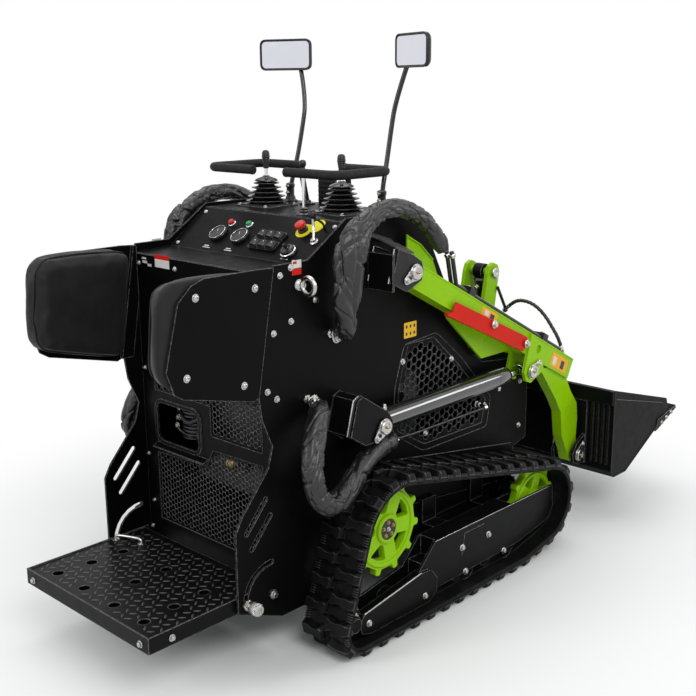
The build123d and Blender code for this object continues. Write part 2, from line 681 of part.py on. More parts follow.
def bucket():
    shell = slab(BUCKET_SIDE, -BUCKET_HALF, BUCKET_HALF)
    back = BUCKET_BACK + BUCKET_T
    inside = ((back, 540), (1620, 420), (1660, 380), (1549, 317), (1288, 183), (1209, 183), (back, 203))
    shell -= slab(inside, -BUCKET_HALF + BUCKET_T, BUCKET_HALF - BUCKET_T)
    lip = ((1520, 280), (BUCKET_TIP_X, 345), (BUCKET_TIP_X - 4, 356), (1530, 300))
    edge = slab(lip, -BUCKET_HALF, BUCKET_HALF)
    edge -= slab(inside, -BUCKET_HALF + BUCKET_T, BUCKET_HALF - BUCKET_T)
    rail = block(BUCKET_BACK - RAIL_T, BUCKET_BACK + 1, -BUCKET_HALF, BUCKET_HALF, RAIL_Z, 520)
    ribs = []
    for i in range(4):
        y = COUPLER_HALF + 22 + 22 * i
        ribs.append(block(BUCKET_BACK - 6, BUCKET_BACK + 1, y - 4, y + 4, 228, RAIL_Z - 8))
    return shell + edge + rail + both(ribs[0] + ribs[1] + ribs[2] + ribs[3])


# Platform

def platform():
    """The operator's plate with its skirt, and the bolts that it turns on."""
    deck = block(REAR_X, PLATFORM_FRONT, -PLATFORM_HALF, PLATFORM_HALF, PLATFORM_TOP - PLATE_T, PLATFORM_TOP)
    deck += block(REAR_X, REAR_X + PLATE_T, -PLATFORM_HALF, PLATFORM_HALF, PLATFORM_LOW, PLATFORM_RIM)
    for sign in (1, -1):
        low, high = sorted((sign * PLATFORM_HALF, sign * (PLATFORM_HALF - PLATE_T)))
        deck += block(REAR_X, PLATFORM_FRONT + 14, low, high, PLATFORM_LOW, PLATFORM_RIM)
        deck += cross_bar(HINGE, *sorted((sign * (PLATFORM_HALF - 12), sign * (BODY_Y + 12))), 7.8)
        deck += cross_bar(HINGE, *sorted((sign * (BODY_Y + 1), sign * (BODY_Y + 9))), 14)
    holes = ((-724, 215), (-724, 75), (-724, -75), (-724, -215), (-615, 205), (-600, 0), (-615, -205),
             (-505, 200), (-490, 0), (-505, -200))
    for x, y in holes:
        deck -= Pos(x, y, PLATFORM_TOP) * Cylinder(17, 20)
    return deck


def platform_latch():
    """The plunger that slides in the arc slot and holds the platform up or down."""
    x, z = HINGE[0] - ARC_R, HINGE[1]
    at = (x + 1, z + 4)
    return cross_bar(at, -BODY_Y - 44, -PLATFORM_HALF, 6) + cross_bar(at, -BODY_Y - 60, -BODY_Y - 38, 13)


# Operator's station

PAD_PLATE_T = 5
PAD_T = 72
MIRROR_AT = (300, 277, 1727)
MIRROR_SIZE = (190, 100, 24)

def pad_frame():
    """The bent steel plate behind a hip pad, bolted to the body's rear corner."""
    outline = ((-321, 1150), (-369, 1153), (-560, 1153), (-600, 1140), (-645, 1100), (-690, 930), (-668, 868),
               (-640, 850), (-403, 792), (-384, 800))
    plate = slab(outline, BODY_Y, BODY_Y + PAD_PLATE_T)
    edge = ((-321, 1150), (-329, 1150), (-392, 800), (-385, 800))
    inner = BODY_IN - SEAT - PAD_PLATE_T
    plate += slab(edge, inner, BODY_Y + 1)
    tongue = ((-321, 1150), (-385, 800), (-350, 800), (-318, 980), (-318, 1150))
    return plate + slab(tongue, inner, BODY_IN - SEAT)


def pad_cushion():
    outline = ((-360, 1140), (-400, 1160), (-590, 1172), (-660, 1154), (-700, 1110), (-727, 960), (-724, 915),
               (-690, 874), (-640, 856), (-430, 806), (-395, 830))
    return slab(outline, BODY_Y - PAD_T, BODY_Y - SEAT)


def joystick():
    """A control lever in its ribbed bellows on a square plate."""
    x, y = 104, 170
    profile = [(0, 0), (76, 0), (76, 6), (62, 8)]
    for i in range(5):
        r, z = 69 - 6 * i, 10 + 14 * i
        profile += [(r - 4, z), (r, z + 3), (r - 4, z + 7), (r - 14, z + 10)]
    profile += [(34, 78), (20, 86), (6, 88), (6, 122), (12, 122), (15, 150), (13, 172), (7, 178), (0, 178)]
    outline = make_face(Polyline(*[(a, 0, b) for a, b in profile], close=True))
    return Pos(x, y, DECK_TOP) * (revolve(outline, axis=Axis.Z) + Pos(0, 0, 2) * Box(146, 146, 4))


def hand_bars():
    """Two foam-covered loops, each on one post."""
    z = DECK_TOP + 128
    near, far, inner, outer = -36, 196, 75, 286
    line = FilletPolyline((near, inner, z), (near, outer, z), (far, outer, z), (far, 98, z), radius=[38, 38])
    foam = sweep(Plane(origin=line @ 0, z_dir=line % 0) * Circle(14), path=line)
    return both(foam + bar((far, 106, z), (218, 98, DECK_TOP + 2), 9))


def mirror_arm():
    points = ((245, 207, DECK_TOP + 40), (273, 201, 1383), (315, 200, 1568), (335, 240, 1700))
    shape = Pos(245, 207, DECK_TOP + 26) * Box(30, 30, 52)
    for a, b in zip(points, points[1:]):
        shape += bar(a, b, 8) + Pos(*b) * Sphere(8)
    width, height, depth = MIRROR_SIZE
    housing = extrude(mirror_plane(0) * RectangleRounded(width, height, 20), amount=-depth)
    return shape + housing


def mirror_plane(ahead):
    """The plane of a mirror's face, turned towards the operator."""
    x, y, z = MIRROR_AT
    turn = math.radians(20)
    facing = Vector(-math.cos(turn), -math.sin(turn), 0)
    across = (math.sin(turn), -math.cos(turn), 0)
    return Plane(origin=Vector(x, y, z) + facing * ahead, x_dir=across, z_dir=facing)


def mirror_glass():
    width, height, _ = MIRROR_SIZE
    return both(extrude(mirror_plane(0) * RectangleRounded(width - 14, height - 14, 14), amount=2))


def console_controls():
    """Gauges, switches and buttons on the sloping panel: (x, y, radius, height) of the round ones."""
    rise = (PANEL_HIGH[1] - PANEL_LOW[1]) / (PANEL_HIGH[0] - PANEL_LOW[0])
    up = Vector(-rise, 0, 1)
    made = []
    for x, y, size, height in ((-125, 140, 32, 14), (-125, 37, 32, 14), (-83, 124, 11, 14), (-80, 45, 11, 12),
                               (-78, -192, 26, 4), (-73, -235, 26, 4), (-151, -205, 24, 16)):
        z = PANEL_LOW[1] + (x - PANEL_LOW[0]) * rise
        face = Plane(origin=Vector(x, y, z) + up * SEAT, z_dir=up)
        made.append(extrude(face * Circle(size), amount=height))
    x, y, _, _ = (-78, -192, 0, 0)
    z = PANEL_LOW[1] + (x - PANEL_LOW[0]) * rise
    made.append(extrude(Plane(origin=Vector(x, y, z) + up * 3, z_dir=up) * Circle(17), amount=34))
    z = PANEL_LOW[1] + (-126 - PANEL_LOW[0]) * rise
    face = Plane(origin=Vector(-126, -88, z) + up * SEAT, x_dir=(1, 0, rise), z_dir=up)
    made.append(extrude(face * Rectangle(70, 112), amount=16))
    x, y = -5, -118
    lever = Pos(x, y, DECK_TOP + SEAT + 6) * Cylinder(20, 12)
    lever += bar((x, y, DECK_TOP + 10), (x - 3, y, DECK_TOP + 140), 5)
    made.append(lever + Pos(x - 3, y, DECK_TOP + 148) * Cylinder(10, 24))
    joined = made[0]
    for shape in made[1:]:
        joined += shape
    return joined


def lifting_eyes():
    """An eye bolt on each side of the body."""
    x, y, z = -224, BODY_Y + EYE_OUT, 1090
    ring = bar((x - EYE_T / 2, y, z), (x + EYE_T / 2, y, z), EYE_OUTER_R)
    ring = fillet(ring.edges(), EYE_T / 3)
    ring -= bar((x - EYE_T, y, z), (x + EYE_T, y, z), EYE_INNER_R)
    shank = cross_bar((x, z), BODY_Y + SEAT, BODY_Y + 8, 17)
    shank += cross_bar((x, z), BODY_Y + 7, y - EYE_INNER_R - 4, 9)
    return both(ring + shank)


def cord(points, radius):
    """A tube of straight runs joined by tangent arcs."""
    spots = [Vector(*p) for p in points]
    radii = []
    for a, b, c in zip(spots, spots[1:], spots[2:]):
        turn = (b - a).get_angle(c - b)
        radii.append(0.45 * min((b - a).length, (c - b).length) / math.tan(math.radians(turn / 2)))
    path = FilletPolyline(*spots, radius=radii)
    print("cord radii", [round(r) for r in radii], "length", round(path.length))
    return sweep(Plane(origin=path @ 0, z_dir=path % 0) * Circle(radius), path=path)


EYE_OUT = 38
EYE_OUTER_R = 31
EYE_INNER_R = 17
EYE_T = 15
HOSE_R = 33
FITTING = 34
TILT_HOSE_R = 8
TILT_HOSE = ((1122, -80, 786), (1107, -115, 813), (1077, -170, 833), (1057, -238, 832), (1053, -290, 801),
             (1064, -325, 748), (1079, -346, 702), (1084, -354, 668))
UPPER_START = (-78, BODY_Y + FITTING, 918)
LOWER_START = (-176, BODY_Y + FITTING, 742)
UPPER_HOSE = ((-92, 56, 975), (-102, 68, 1070), (-92, 68, 1165), (-48, 66, 1240), (30, 64, 1284),
              (125, 64, 1290), (215, 64, 1256), (285, 65, 1195), (328, 66, 1130))
LOWER_HOSE = ((-214, 58, 712), (-262, 88, 650), (-292, 112, 580), (-286, 124, 510), (-232, 126, 466),
              (-160, 120, 492), (-90, 100, 536), (-15, 76, 558), (60, 60, 564), (120, 52, 564))


def hose(start, rows):
    """A hose sleeve through points whose y is measured from the body's side."""
    return cord([start] + [(x, BODY_Y + out, z) for x, out, z in rows], HOSE_R)


def hose_fittings():
    """The bulkhead fittings that the two hose sleeves leave the body from."""
    made = []
    for x, y, z in (UPPER_START, LOWER_START):
        made.append(cross_bar((x, z), BODY_Y, BODY_Y + 12, 17) + cross_bar((x, z), BODY_Y + 12, y, 12))
    return both(made[0] + made[1])


def main():
    for side, sign in SIDES:
        for name, make in (("track", track), ("sprocket", sprocket), ("front_idler", front_idler),
                           ("rollers", rollers), ("track_frame", track_frame), ("side_panel", side_panel),
                           ("boom_mount", boom_mount), ("lift_mount", lift_mount),
                           ("lift_barrel", lift_barrel), ("lift_rod", lift_rod), ("pad_frame", pad_frame),
                           ("pad_cushion", pad_cushion), ("joystick", joystick), ("mirror_arm", mirror_arm)):
            put(f"{name}_{side}", side_of(make(), sign))
        put(f"upper_hose_{side}", side_of(hose(UPPER_START, UPPER_HOSE), sign))
        put(f"lower_hose_{side}", side_of(hose(LOWER_START, LOWER_HOSE), sign))
    for name, make in (("rear_panel", rear_panel), ("rear_grille", rear_grille), ("vent_flap", vent_flap),
                       ("tilt_hose", tilt_hose), ("console_panel", console_panel), ("top_deck", top_deck),
                       ("hood", hood), ("front_panel", front_panel), ("belly_pan", belly_pan),
                       ("engine_block", engine_block), ("boom", boom), ("boom_tubes", boom_tubes),
                       ("arm_lock", arm_lock), ("tilt_barrel", tilt_barrel), ("tilt_rod", tilt_rod),
                       ("coupler", coupler), ("bucket", bucket), ("platform", platform),
                       ("platform_latch", platform_latch), ("hand_bars", hand_bars),
                       ("mirror_glass", mirror_glass), ("console_controls", console_controls),
                       ("lifting_eyes", lifting_eyes), ("hose_fittings", hose_fittings)):
        put(name, make())
    put("side_grilles", both(side_grille()))


main()
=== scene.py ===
import bpy
import math
from mathutils import Matrix, Vector, noise


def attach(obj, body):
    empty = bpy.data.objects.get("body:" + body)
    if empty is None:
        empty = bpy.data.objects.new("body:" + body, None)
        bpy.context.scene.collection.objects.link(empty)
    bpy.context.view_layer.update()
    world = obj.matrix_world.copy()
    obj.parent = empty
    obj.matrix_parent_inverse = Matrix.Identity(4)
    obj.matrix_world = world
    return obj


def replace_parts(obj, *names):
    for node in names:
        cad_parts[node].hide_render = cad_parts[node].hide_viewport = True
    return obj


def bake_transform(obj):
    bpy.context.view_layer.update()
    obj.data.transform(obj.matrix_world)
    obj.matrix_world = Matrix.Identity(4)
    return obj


# The looks of a stand-on mini skid steer loader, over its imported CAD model.
# Left is +y, and what is on both sides is made by a loop over SIDES.
# Points are written as in the part's source, in millimetres with x from the drive sprocket's axis,
# and P() turns them into the frame's metres.

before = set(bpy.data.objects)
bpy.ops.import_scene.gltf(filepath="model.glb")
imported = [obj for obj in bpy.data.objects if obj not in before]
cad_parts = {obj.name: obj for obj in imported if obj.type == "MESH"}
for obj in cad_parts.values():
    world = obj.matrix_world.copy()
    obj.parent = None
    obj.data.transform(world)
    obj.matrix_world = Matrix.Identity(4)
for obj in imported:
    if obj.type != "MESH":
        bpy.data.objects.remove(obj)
bpy.context.scene.view_settings.view_transform = "Standard"
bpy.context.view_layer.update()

X_MID = 453
BODY_Y = 320
DECK_TOP = 1247
TRACK_INNER_Y = 345
TRACK_OUTER_Y = 525
TRACK_MID_Y = 435
ARM_IN = 340
ARM_OUT = 400
ARM_Y = 370
SPROCKET = (0, 329)
IDLER = (781, 190)
REAR_IDLER = (-178, 92)
FRONT_ROLLER = (640, 78)
BOOM_PIN = (156, 1087)
LIFT_BASE = (20, 640)
LIFT_PIN = (803, 651)
TILT_BASE = (1050, 929)
TILT_PIN = (1136, 415)
BUCKET_PIN = (1130, 260)
SIDES = (("left", 1), ("right", -1))
UP = Vector((0, 0, 1))
BACKWARD = Vector((-1, 0, 0))


def P(x, y, z):
    """A point of the part's source, in the frame's metres."""
    return Vector(((x - X_MID) / 1000, y / 1000, z / 1000))


def put(name, data):
    """Makes an object of a mesh, curve, light or camera, in the scene."""
    made = bpy.data.objects.new(name, data)
    bpy.context.scene.collection.objects.link(made)
    return made


# Camera, at the photograph's view

CAMERA_AT = (-2193.3, -2394.3, 1620.1)
CAMERA_YAW = 43.786
CAMERA_PITCH = 13.983
CAMERA_ROLL = -0.386
CAMERA_LENS = 54.17


def make_camera():
    data = bpy.data.cameras.new("photo_camera")
    data.lens = CAMERA_LENS
    data.sensor_width = 36
    data.clip_start = 0.05
    data.clip_end = 100
    camera = put("photo_camera", data)
    yaw, pitch, roll = (math.radians(a) for a in (CAMERA_YAW, CAMERA_PITCH, CAMERA_ROLL))
    ahead = Vector((math.cos(yaw) * math.cos(pitch), math.sin(yaw) * math.cos(pitch), -math.sin(pitch)))
    level = Vector((math.sin(yaw), -math.cos(yaw), 0))
    upright = level.cross(ahead)
    right = level * math.cos(roll) + upright * math.sin(roll)
    up = upright * math.cos(roll) - level * math.sin(roll)
    turn = Matrix((right, up, -ahead)).transposed()
    camera.matrix_world = Matrix.Translation(P(*CAMERA_AT)) @ turn.to_4x4()
    bpy.context.scene.camera = camera


make_camera()


# Materials: each is a shader with colour variation, roughness variation and fine relief

MATERIALS = {}
WHITE = (1.0, 1.0, 1.0, 1.0)
DUST = (0.19, 0.18, 0.165, 1.0)
RUBBER_DUST = (0.12, 0.115, 0.11, 1.0)
CLOTH_BLOOM = (0.11, 0.11, 0.115, 1.0)


def tone(colour, factor):
    return tuple(min(1.0, c * factor) for c in colour) + (1.0,)


def set_inputs(node, **values):
    """Sets a node's own sockets; an underscore in a name stands for a space."""
    for name, value in values.items():
        node.inputs[name.replace("_", " ")].default_value = value


class Graph:
    """The node tree of a material or of the world."""

    def __init__(self, owner):
        owner.use_nodes = True
        self.nodes = owner.node_tree.nodes
        self.link = owner.node_tree.links.new

    def node(self, kind, **values):
        made = self.nodes.new("ShaderNode" + kind)
        set_inputs(made, **values)
        return made

    def times(self, a, b, operation="MULTIPLY"):
        node = self.node("Math")
        node.operation = operation
        node.use_clamp = True
        self.link(a, node.inputs[0])
        self.link(b, node.inputs[1])
        return node.outputs["Value"]

    def blend(self, factor, first, second):
        node = self.node("Mix")
        node.data_type = "RGBA"
        self.link(factor, node.inputs["Factor"])
        for socket, value in ((node.inputs["A"], first), (node.inputs["B"], second)):
            if isinstance(value, tuple):
                socket.default_value = value
            else:
                self.link(value, socket)
        return node.outputs["Result"]

    def seen(self):
        """1 for a ray of the camera, a reflection or a glass, and 0 for the light that is given off."""
        rays = self.node("LightPath").outputs
        mask = self.times(rays["Is Camera Ray"], rays["Is Glossy Ray"], "MAXIMUM")
        return self.times(mask, rays["Is Transmission Ray"], "MAXIMUM")

    def surface(self, factor, first, second, output):
        """Mixes two shaders into the output."""
        mix = self.node("MixShader")
        for socket, value in zip(mix.inputs, (factor, first, second)):
            self.link(value, socket)
        self.link(mix.outputs["Shader"], self.nodes[output].inputs["Surface"])


class Finish(Graph):
    """Builds one procedural material, node by node, and keeps it in MATERIALS."""

    def __init__(self, name, **shader):
        self.material = bpy.data.materials.new(name)
        super().__init__(self.material)
        self.shader = self.nodes["Principled BSDF"]
        set_inputs(self.shader, **shader)
        self.place = self.node("TexCoord").outputs["Object"]
        self.normal = None
        MATERIALS[name] = self.material

    def feed(self, socket, value):
        self.link(value, self.shader.inputs[socket])

    def noise(self, scale, detail=4.0, rough=0.55, stretch=None):
        node = self.node("TexNoise", Scale=scale, Detail=detail, Roughness=rough)
        place = self.place
        if stretch:
            mapping = self.node("Mapping", Scale=stretch)
            self.link(place, mapping.inputs["Vector"])
            place = mapping.outputs["Vector"]
        self.link(place, node.inputs["Vector"])
        return node.outputs["Fac"]

    def spots(self, scale, feature="F1"):
        node = self.node("TexVoronoi", Scale=scale)
        node.feature = feature
        self.link(self.place, node.inputs["Vector"])
        return node.outputs["Distance"]

    def spread(self, value, low, high, out_low=0.0, out_high=1.0):
        node = self.node("MapRange", From_Min=low, From_Max=high, To_Min=out_low, To_Max=out_high)
        self.link(value, node.inputs["Value"])
        return node.outputs["Result"]

    def cloud(self, scale, detail=5.0, rough=0.55):
        return self.spread(self.noise(scale, detail, rough), 0.3, 0.7)

    def relief(self, height, strength, depth):
        """Adds a bump layer: depth is in metres."""
        node = self.node("Bump", Strength=strength, Distance=depth)
        self.link(height, node.inputs["Height"])
        if self.normal:
            self.link(self.normal, node.inputs["Normal"])
        self.normal = node.outputs["Normal"]
        self.feed("Normal", self.normal)

    def bevelled(self, radius):
        node = self.node("Bevel", Radius=radius)
        node.samples = 4
        return node.outputs["Normal"]

    def edges(self, radius):
        """A mask of the edges: where the bevelled normal leaves the true one."""
        dot = self.node("VectorMath")
        dot.operation = "DOT_PRODUCT"
        self.link(self.bevelled(radius), dot.inputs[0])
        self.link(self.node("NewGeometry").outputs["Normal"], dot.inputs[1])
        return self.spread(dot.outputs["Value"], 0.995, 0.86)

    def facing(self, axis):
        split = self.node("SeparateXYZ")
        self.link(self.node("NewGeometry").outputs["Normal"], split.inputs[0])
        return split.outputs[axis]

    def sideways(self):
        """A mask of the faces that look to the left or right."""
        y = self.facing("Y")
        return self.spread(self.times(y, y), 0.5, 0.9)

    def upward(self):
        return self.spread(self.facing("Z"), 0.35, 0.95)


def paint(name, colour, rough, specular=0.3, variation=0.12, peel=0.12, worn=0.0, bare=(0.35, 0.34, 0.32),
          dust=0.0, edge=0.0012, coat=0.0, painted_side_light=None):
    """Painted sheet metal: orange peel, faint cloudiness, edge chips of a barer colour (real wear where that
    colour is grey steel, a painted highlight line where it is pale grey or a lighter green), side faces made
    lighter as painted light where asked, and a little dust on upward faces.
    """
    f = Finish(name, Specular_IOR_Level=specular, Coat_Weight=coat, Coat_Roughness=0.1)
    base = f.blend(f.cloud(7.0), tone(colour, 1 - variation), tone(colour, 1 + variation))
    # side faces made a lighter grey by the way they face: painted light
    if painted_side_light:
        base = f.blend(f.sideways(), base, painted_side_light + (1.0,))
    if dust:
        patches = f.times(f.upward(), f.spread(f.noise(19.0, 8.0, 0.7), 0.42, 0.75, 0.0, dust))
        base = f.blend(patches, base, DUST)
    # edges chipped to a barer colour: real wear where that colour is grey steel, a painted highlight line
    # where it is pale grey or a lighter hue
    if worn:
        chips_and_highlights = f.times(f.edges(edge * 2.2), f.spread(f.noise(160.0, 6.0, 0.7), 0.35, 0.65, 0.0, worn))
        base = f.blend(chips_and_highlights, base, bare + (1.0,))
    f.feed("Base Color", base)
    f.feed("Roughness", f.spread(f.noise(31.0, 6.0, 0.65), 0.25, 0.75, max(0.02, rough - 0.09), rough + 0.11))
    f.normal = f.bevelled(edge)
    f.relief(f.noise(620.0, 2.0), peel, 0.0006)
    f.relief(f.noise(9.0, 2.0), 0.05, 0.004)


def bare_metal(name, colour, rough, stain=0.35):
    """Plated or polished steel with fine scratches and small stains."""
    f = Finish(name, Metallic=1.0)
    stains = f.spread(f.noise(90.0, 6.0, 0.7), 0.45, 0.72, 0.0, stain)
    f.feed("Base Color", f.blend(stains, colour + (1.0,), tone(colour, 0.45)))
    scratches = f.noise(420.0, 3.0, 0.6)
    f.feed("Roughness", f.spread(scratches, 0.3, 0.7, max(0.03, rough - 0.07), rough + 0.1))
    f.normal = f.bevelled(0.0006)
    f.relief(scratches, 0.08, 0.0003)


def rubber(name, colour, rough, grain=700.0, dusty=0.0, specular=0.25, ridges=0.0):
    """Moulded rubber or hard plastic with a fine grain and patches of dust."""
    f = Finish(name, Specular_IOR_Level=specular)
    base = f.blend(f.cloud(14.0, 6.0, 0.65), tone(colour, 0.75), tone(colour, 1.3))
    if dusty:
        film = f.spread(f.noise(38.0, 8.0, 0.72), 0.5, 0.78, 0.0, dusty)
        base = f.blend(film, base, RUBBER_DUST)
    f.feed("Base Color", base)
    f.feed("Roughness", f.spread(f.noise(55.0, 5.0), 0.25, 0.75, rough - 0.08, rough + 0.1))
    f.normal = f.bevelled(0.0012)
    f.relief(f.noise(grain, 3.0, 0.6), 0.25, 0.0004)
    f.relief(f.spots(60.0), 0.06 + ridges, 0.0012)


def leather(name, colour):
    """Padded vinyl with a pebbled grain and a soft sheen."""
    f = Finish(name, Specular_IOR_Level=0.22, Sheen_Weight=0.04)
    base = f.blend(f.cloud(9.0), tone(colour, 0.8), tone(colour, 1.25))
    pebbles = f.spots(520.0, "SMOOTH_F1")
    cracks = f.spread(pebbles, 0.55, 0.9, 0.0, 0.5)
    f.feed("Base Color", f.blend(cracks, base, tone(colour, 0.45)))
    f.feed("Roughness", f.spread(f.noise(26.0, 5.0), 0.3, 0.7, 0.42, 0.58))
    f.relief(pebbles, 0.35, 0.0005)
    f.relief(f.noise(70.0, 5.0, 0.6), 0.22, 0.0016)
    f.relief(f.noise(16.0, 3.0), 0.25, 0.004)


def cloth(name, colour):
    """Woven nylon of a hose sleeve: two crossing thread directions and a dusty bloom."""
    f = Finish(name, Specular_IOR_Level=0.6, Sheen_Weight=0.05, Sheen_Roughness=0.4)
    uv = f.node("TexCoord").outputs["UV"]
    threads = []
    for direction in ("X", "Y"):
        wave = f.node("TexWave", Scale=190.0, Distortion=0.6)
        wave.bands_direction = direction
        f.link(uv, wave.inputs["Vector"])
        threads.append(wave.outputs["Fac"])
    base = f.blend(f.cloud(16.0, 6.0, 0.65), tone(colour, 0.7), tone(colour, 1.35))
    bloom = f.spread(f.noise(45.0, 8.0, 0.75), 0.5, 0.8, 0.0, 0.08)
    f.feed("Base Color", f.blend(bloom, base, CLOTH_BLOOM))
    f.feed("Roughness", f.spread(f.noise(60.0, 5.0), 0.25, 0.75, 0.3, 0.44))
    f.relief(f.times(*threads, "ADD"), 0.12, 0.0004)
    f.relief(f.noise(34.0, 2.0, 0.5, (1.0, 1.0, 0.45)), 0.2, 0.003)


def mirror_face(name, colour, rough):
    """A mirror's glass: smooth, with faint smears."""
    f = Finish(name, Metallic=1.0)
    smears = f.spread(f.noise(12.0, 6.0, 0.7), 0.35, 0.75)
    f.feed("Base Color", f.blend(smears, colour + (1.0,), tone(colour, 0.96)))
    f.feed("Roughness", f.spread(f.noise(30.0, 5.0), 0.3, 0.7, rough, rough + 0.04))
    f.relief(f.noise(3.0, 1.0), 0.01, 0.002)


BLACK = (0.0028, 0.0028, 0.0030)
STEEL_BLACK = (0.0036, 0.0036, 0.0038)
# pale grey on the edges of black parts: painted highlight lines that stand in for lit edges
PAINTED_EDGE_LIGHT = (0.5, 0.5, 0.5)
paint("black_panel", BLACK, 0.38, specular=0.055, peel=0.16, worn=0.9, bare=PAINTED_EDGE_LIGHT, dust=0.012, edge=0.0014)
paint("black_steel", STEEL_BLACK, 0.33, specular=0.09, worn=0.9, bare=PAINTED_EDGE_LIGHT, dust=0.02, edge=0.0016)
# its side faces take a lighter grey as painted light
paint("mount_steel", STEEL_BLACK, 0.4, specular=0.12, peel=0.6, worn=0.9, bare=PAINTED_EDGE_LIGHT, edge=0.0014,
      painted_side_light=(0.024, 0.024, 0.025))
paint("bucket_steel", (0.0042, 0.0042, 0.0044), 0.42, specular=0.07, worn=0.35, dust=0.02, edge=0.0016)
paint("cover_steel", (0.045, 0.045, 0.047), 0.4, specular=0.2, variation=0.35, peel=0.6, worn=0.5)
paint("black_gloss", (0.008, 0.008, 0.009), 0.13, specular=0.45, variation=0.05, peel=0.05)
# its edges turn a lighter green, a painted highlight and not bare steel
paint("green_paint", (0.252, 0.51, 0.002), 0.3, specular=0.12, variation=0.05, peel=0.1, worn=0.3,
      bare=(0.5, 0.7, 0.2))
paint("red_paint", (0.56, 0.016, 0.008), 0.33, specular=0.08, variation=0.06, worn=0.2)
paint("yellow_paint", (0.78, 0.46, 0.01), 0.4, variation=0.05)
paint("lemon_paint", (0.72, 0.66, 0.012), 0.4, specular=0.25, variation=0.05)
paint("orange_label", (0.80, 0.36, 0.015), 0.45, variation=0.04, peel=0.04)
paint("white_label", (0.62, 0.62, 0.6), 0.45, variation=0.04, peel=0.04)
paint("tread", (0.03, 0.03, 0.031), 0.34, specular=0.45, variation=0.2, peel=0.3, worn=0.5, dust=0.12)
paint("cylinder_black", (0.012, 0.012, 0.013), 0.12, specular=0.6, variation=0.03, peel=0.02, coat=1.0,
      edge=0.0006)
bare_metal("zinc", (0.54, 0.53, 0.51), 0.24, stain=0.6)
bare_metal("chrome", (0.74, 0.74, 0.76), 0.08, stain=0.1)
bare_metal("brass", (0.40, 0.30, 0.11), 0.35)
bare_metal("engine_metal", (0.09, 0.09, 0.095), 0.5, stain=0.7)
# bright bare metal for beads beside black welds and a line along an edge: painted glints and highlights
bare_metal("bright_weld", (0.66, 0.66, 0.66), 0.2, stain=0.9)
rubber("track_rubber", (0.026, 0.026, 0.0265), 0.4, grain=420.0, dusty=0.35, specular=0.35, ridges=0.08)
# a darker copy of the track rubber as painted shade: the carcass and the lugs' tops and flanks take it, while
# lug ends, chamfers and edge ribs keep the lighter rubber
rubber("track_dark", (0.0032, 0.0032, 0.0033), 0.45, grain=420.0, dusty=0.1, specular=0.12)
rubber("control_rubber", (0.0045, 0.0045, 0.0045), 0.2, specular=0.5)
rubber("foam", (0.009, 0.009, 0.009), 0.62, grain=300.0, specular=0.2)
rubber("plastic", (0.012, 0.012, 0.012), 0.38, grain=900.0, specular=0.35)
rubber("red_plastic", (0.55, 0.02, 0.012), 0.3, specular=0.4)
rubber("green_plastic", (0.02, 0.26, 0.05), 0.3, specular=0.4)
rubber("dial", (0.035, 0.036, 0.024), 0.25, specular=0.3)
leather("vinyl", (0.0075, 0.0075, 0.0078))
cloth("sleeve", (0.0042, 0.0042, 0.0044))
mirror_face("mirror", (0.69, 0.70, 0.76), 0.02)

CAD_FINISH = {
    "sprocket": "green_paint", "front_idler": "green_paint", "rollers": "black_steel",
    "track": "track_rubber", "track_frame": "black_steel", "side_panel": "black_panel",
    "boom_mount": "mount_steel", "lift_mount": "black_steel", "lift_barrel": "black_gloss",
    "lift_rod": "chrome", "pad_frame": "black_panel", "pad_cushion": "vinyl", "joystick": "control_rubber",
    "mirror_arm": "plastic", "upper_hose": "sleeve", "lower_hose": "sleeve", "rear_panel": "black_panel",
    "rear_grille": "black_panel", "vent_flap": "plastic", "tilt_hose": "track_rubber",
    "console_panel": "black_panel", "top_deck": "black_panel", "hood": "black_panel",
    "front_panel": "black_panel", "belly_pan": "black_steel", "engine_block": "engine_metal",
    "boom": "green_paint", "boom_tubes": "black_gloss", "arm_lock": "red_paint",
    "tilt_barrel": "black_gloss", "tilt_rod": "chrome", "coupler": "black_steel", "bucket": "bucket_steel",
    "platform": "black_steel", "platform_latch": "zinc", "hand_bars": "foam", "mirror_glass": "mirror",
    "console_controls": "plastic", "lifting_eyes": "zinc", "side_grilles": "black_panel",
    "hose_fittings": "zinc",
}
for node_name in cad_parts:
    family = node_name.replace("_left", "").replace("_right", "")
    node_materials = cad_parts[node_name].data.materials
    node_materials.clear()
    node_materials.append(MATERIALS[CAD_FINISH[family]])


# Mesh helpers: a kit gathers shapes in millimetres and makes one object of them

def across(axis):
    """Two directions square to an axis, and the axis itself."""
    axis = Vector(axis).normalized()
    side = UP if abs(axis.z) < 0.9 else Vector((1, 0, 0))
    u = side.cross(axis).normalized()
    return u, axis.cross(u), axis


def circle(u, v, radius, count):
    """Points round a circle in the plane of two directions."""
    angles = [2 * math.pi * k / count for k in range(count)]
    return [(u * math.cos(a) + v * math.sin(a)) * radius for a in angles]


def carried(path, reach=1, closed=False):
    """Each point of a line with its way and two directions square to it, carried along without a twist."""
    total = len(path)
    u = None
    for i, p in enumerate(path):
        if closed:
            way = (path[(i + reach) % total] - path[i - reach]).normalized()
        else:
            way = (path[min(total - 1, i + reach)] - path[max(0, i - reach)]).normalized()
        if u is None:
            u = across(way)[0]
        u = (u - way * u.dot(way)).normalized()
        yield p, way, u, way.cross(u)


def skin(rows, count, closed=False, turned=False):
    """The faces between rows of points, and both ends' caps unless the rows close in a loop."""
    faces = []
    for j in range(rows if closed else rows - 1):
        m = (j + 1) % rows
        for k in range(count):
            n = (k + 1) % count
            a, b, c, d = j * count + k, j * count + n, m * count + n, m * count + k
            faces.append((a, d, c, b) if turned else (a, b, c, d))
    if not closed:
        first, last = tuple(range(count)), tuple(range((rows - 1) * count, rows * count))
        faces += [first, last[::-1]] if turned else [first[::-1], last]
    return faces


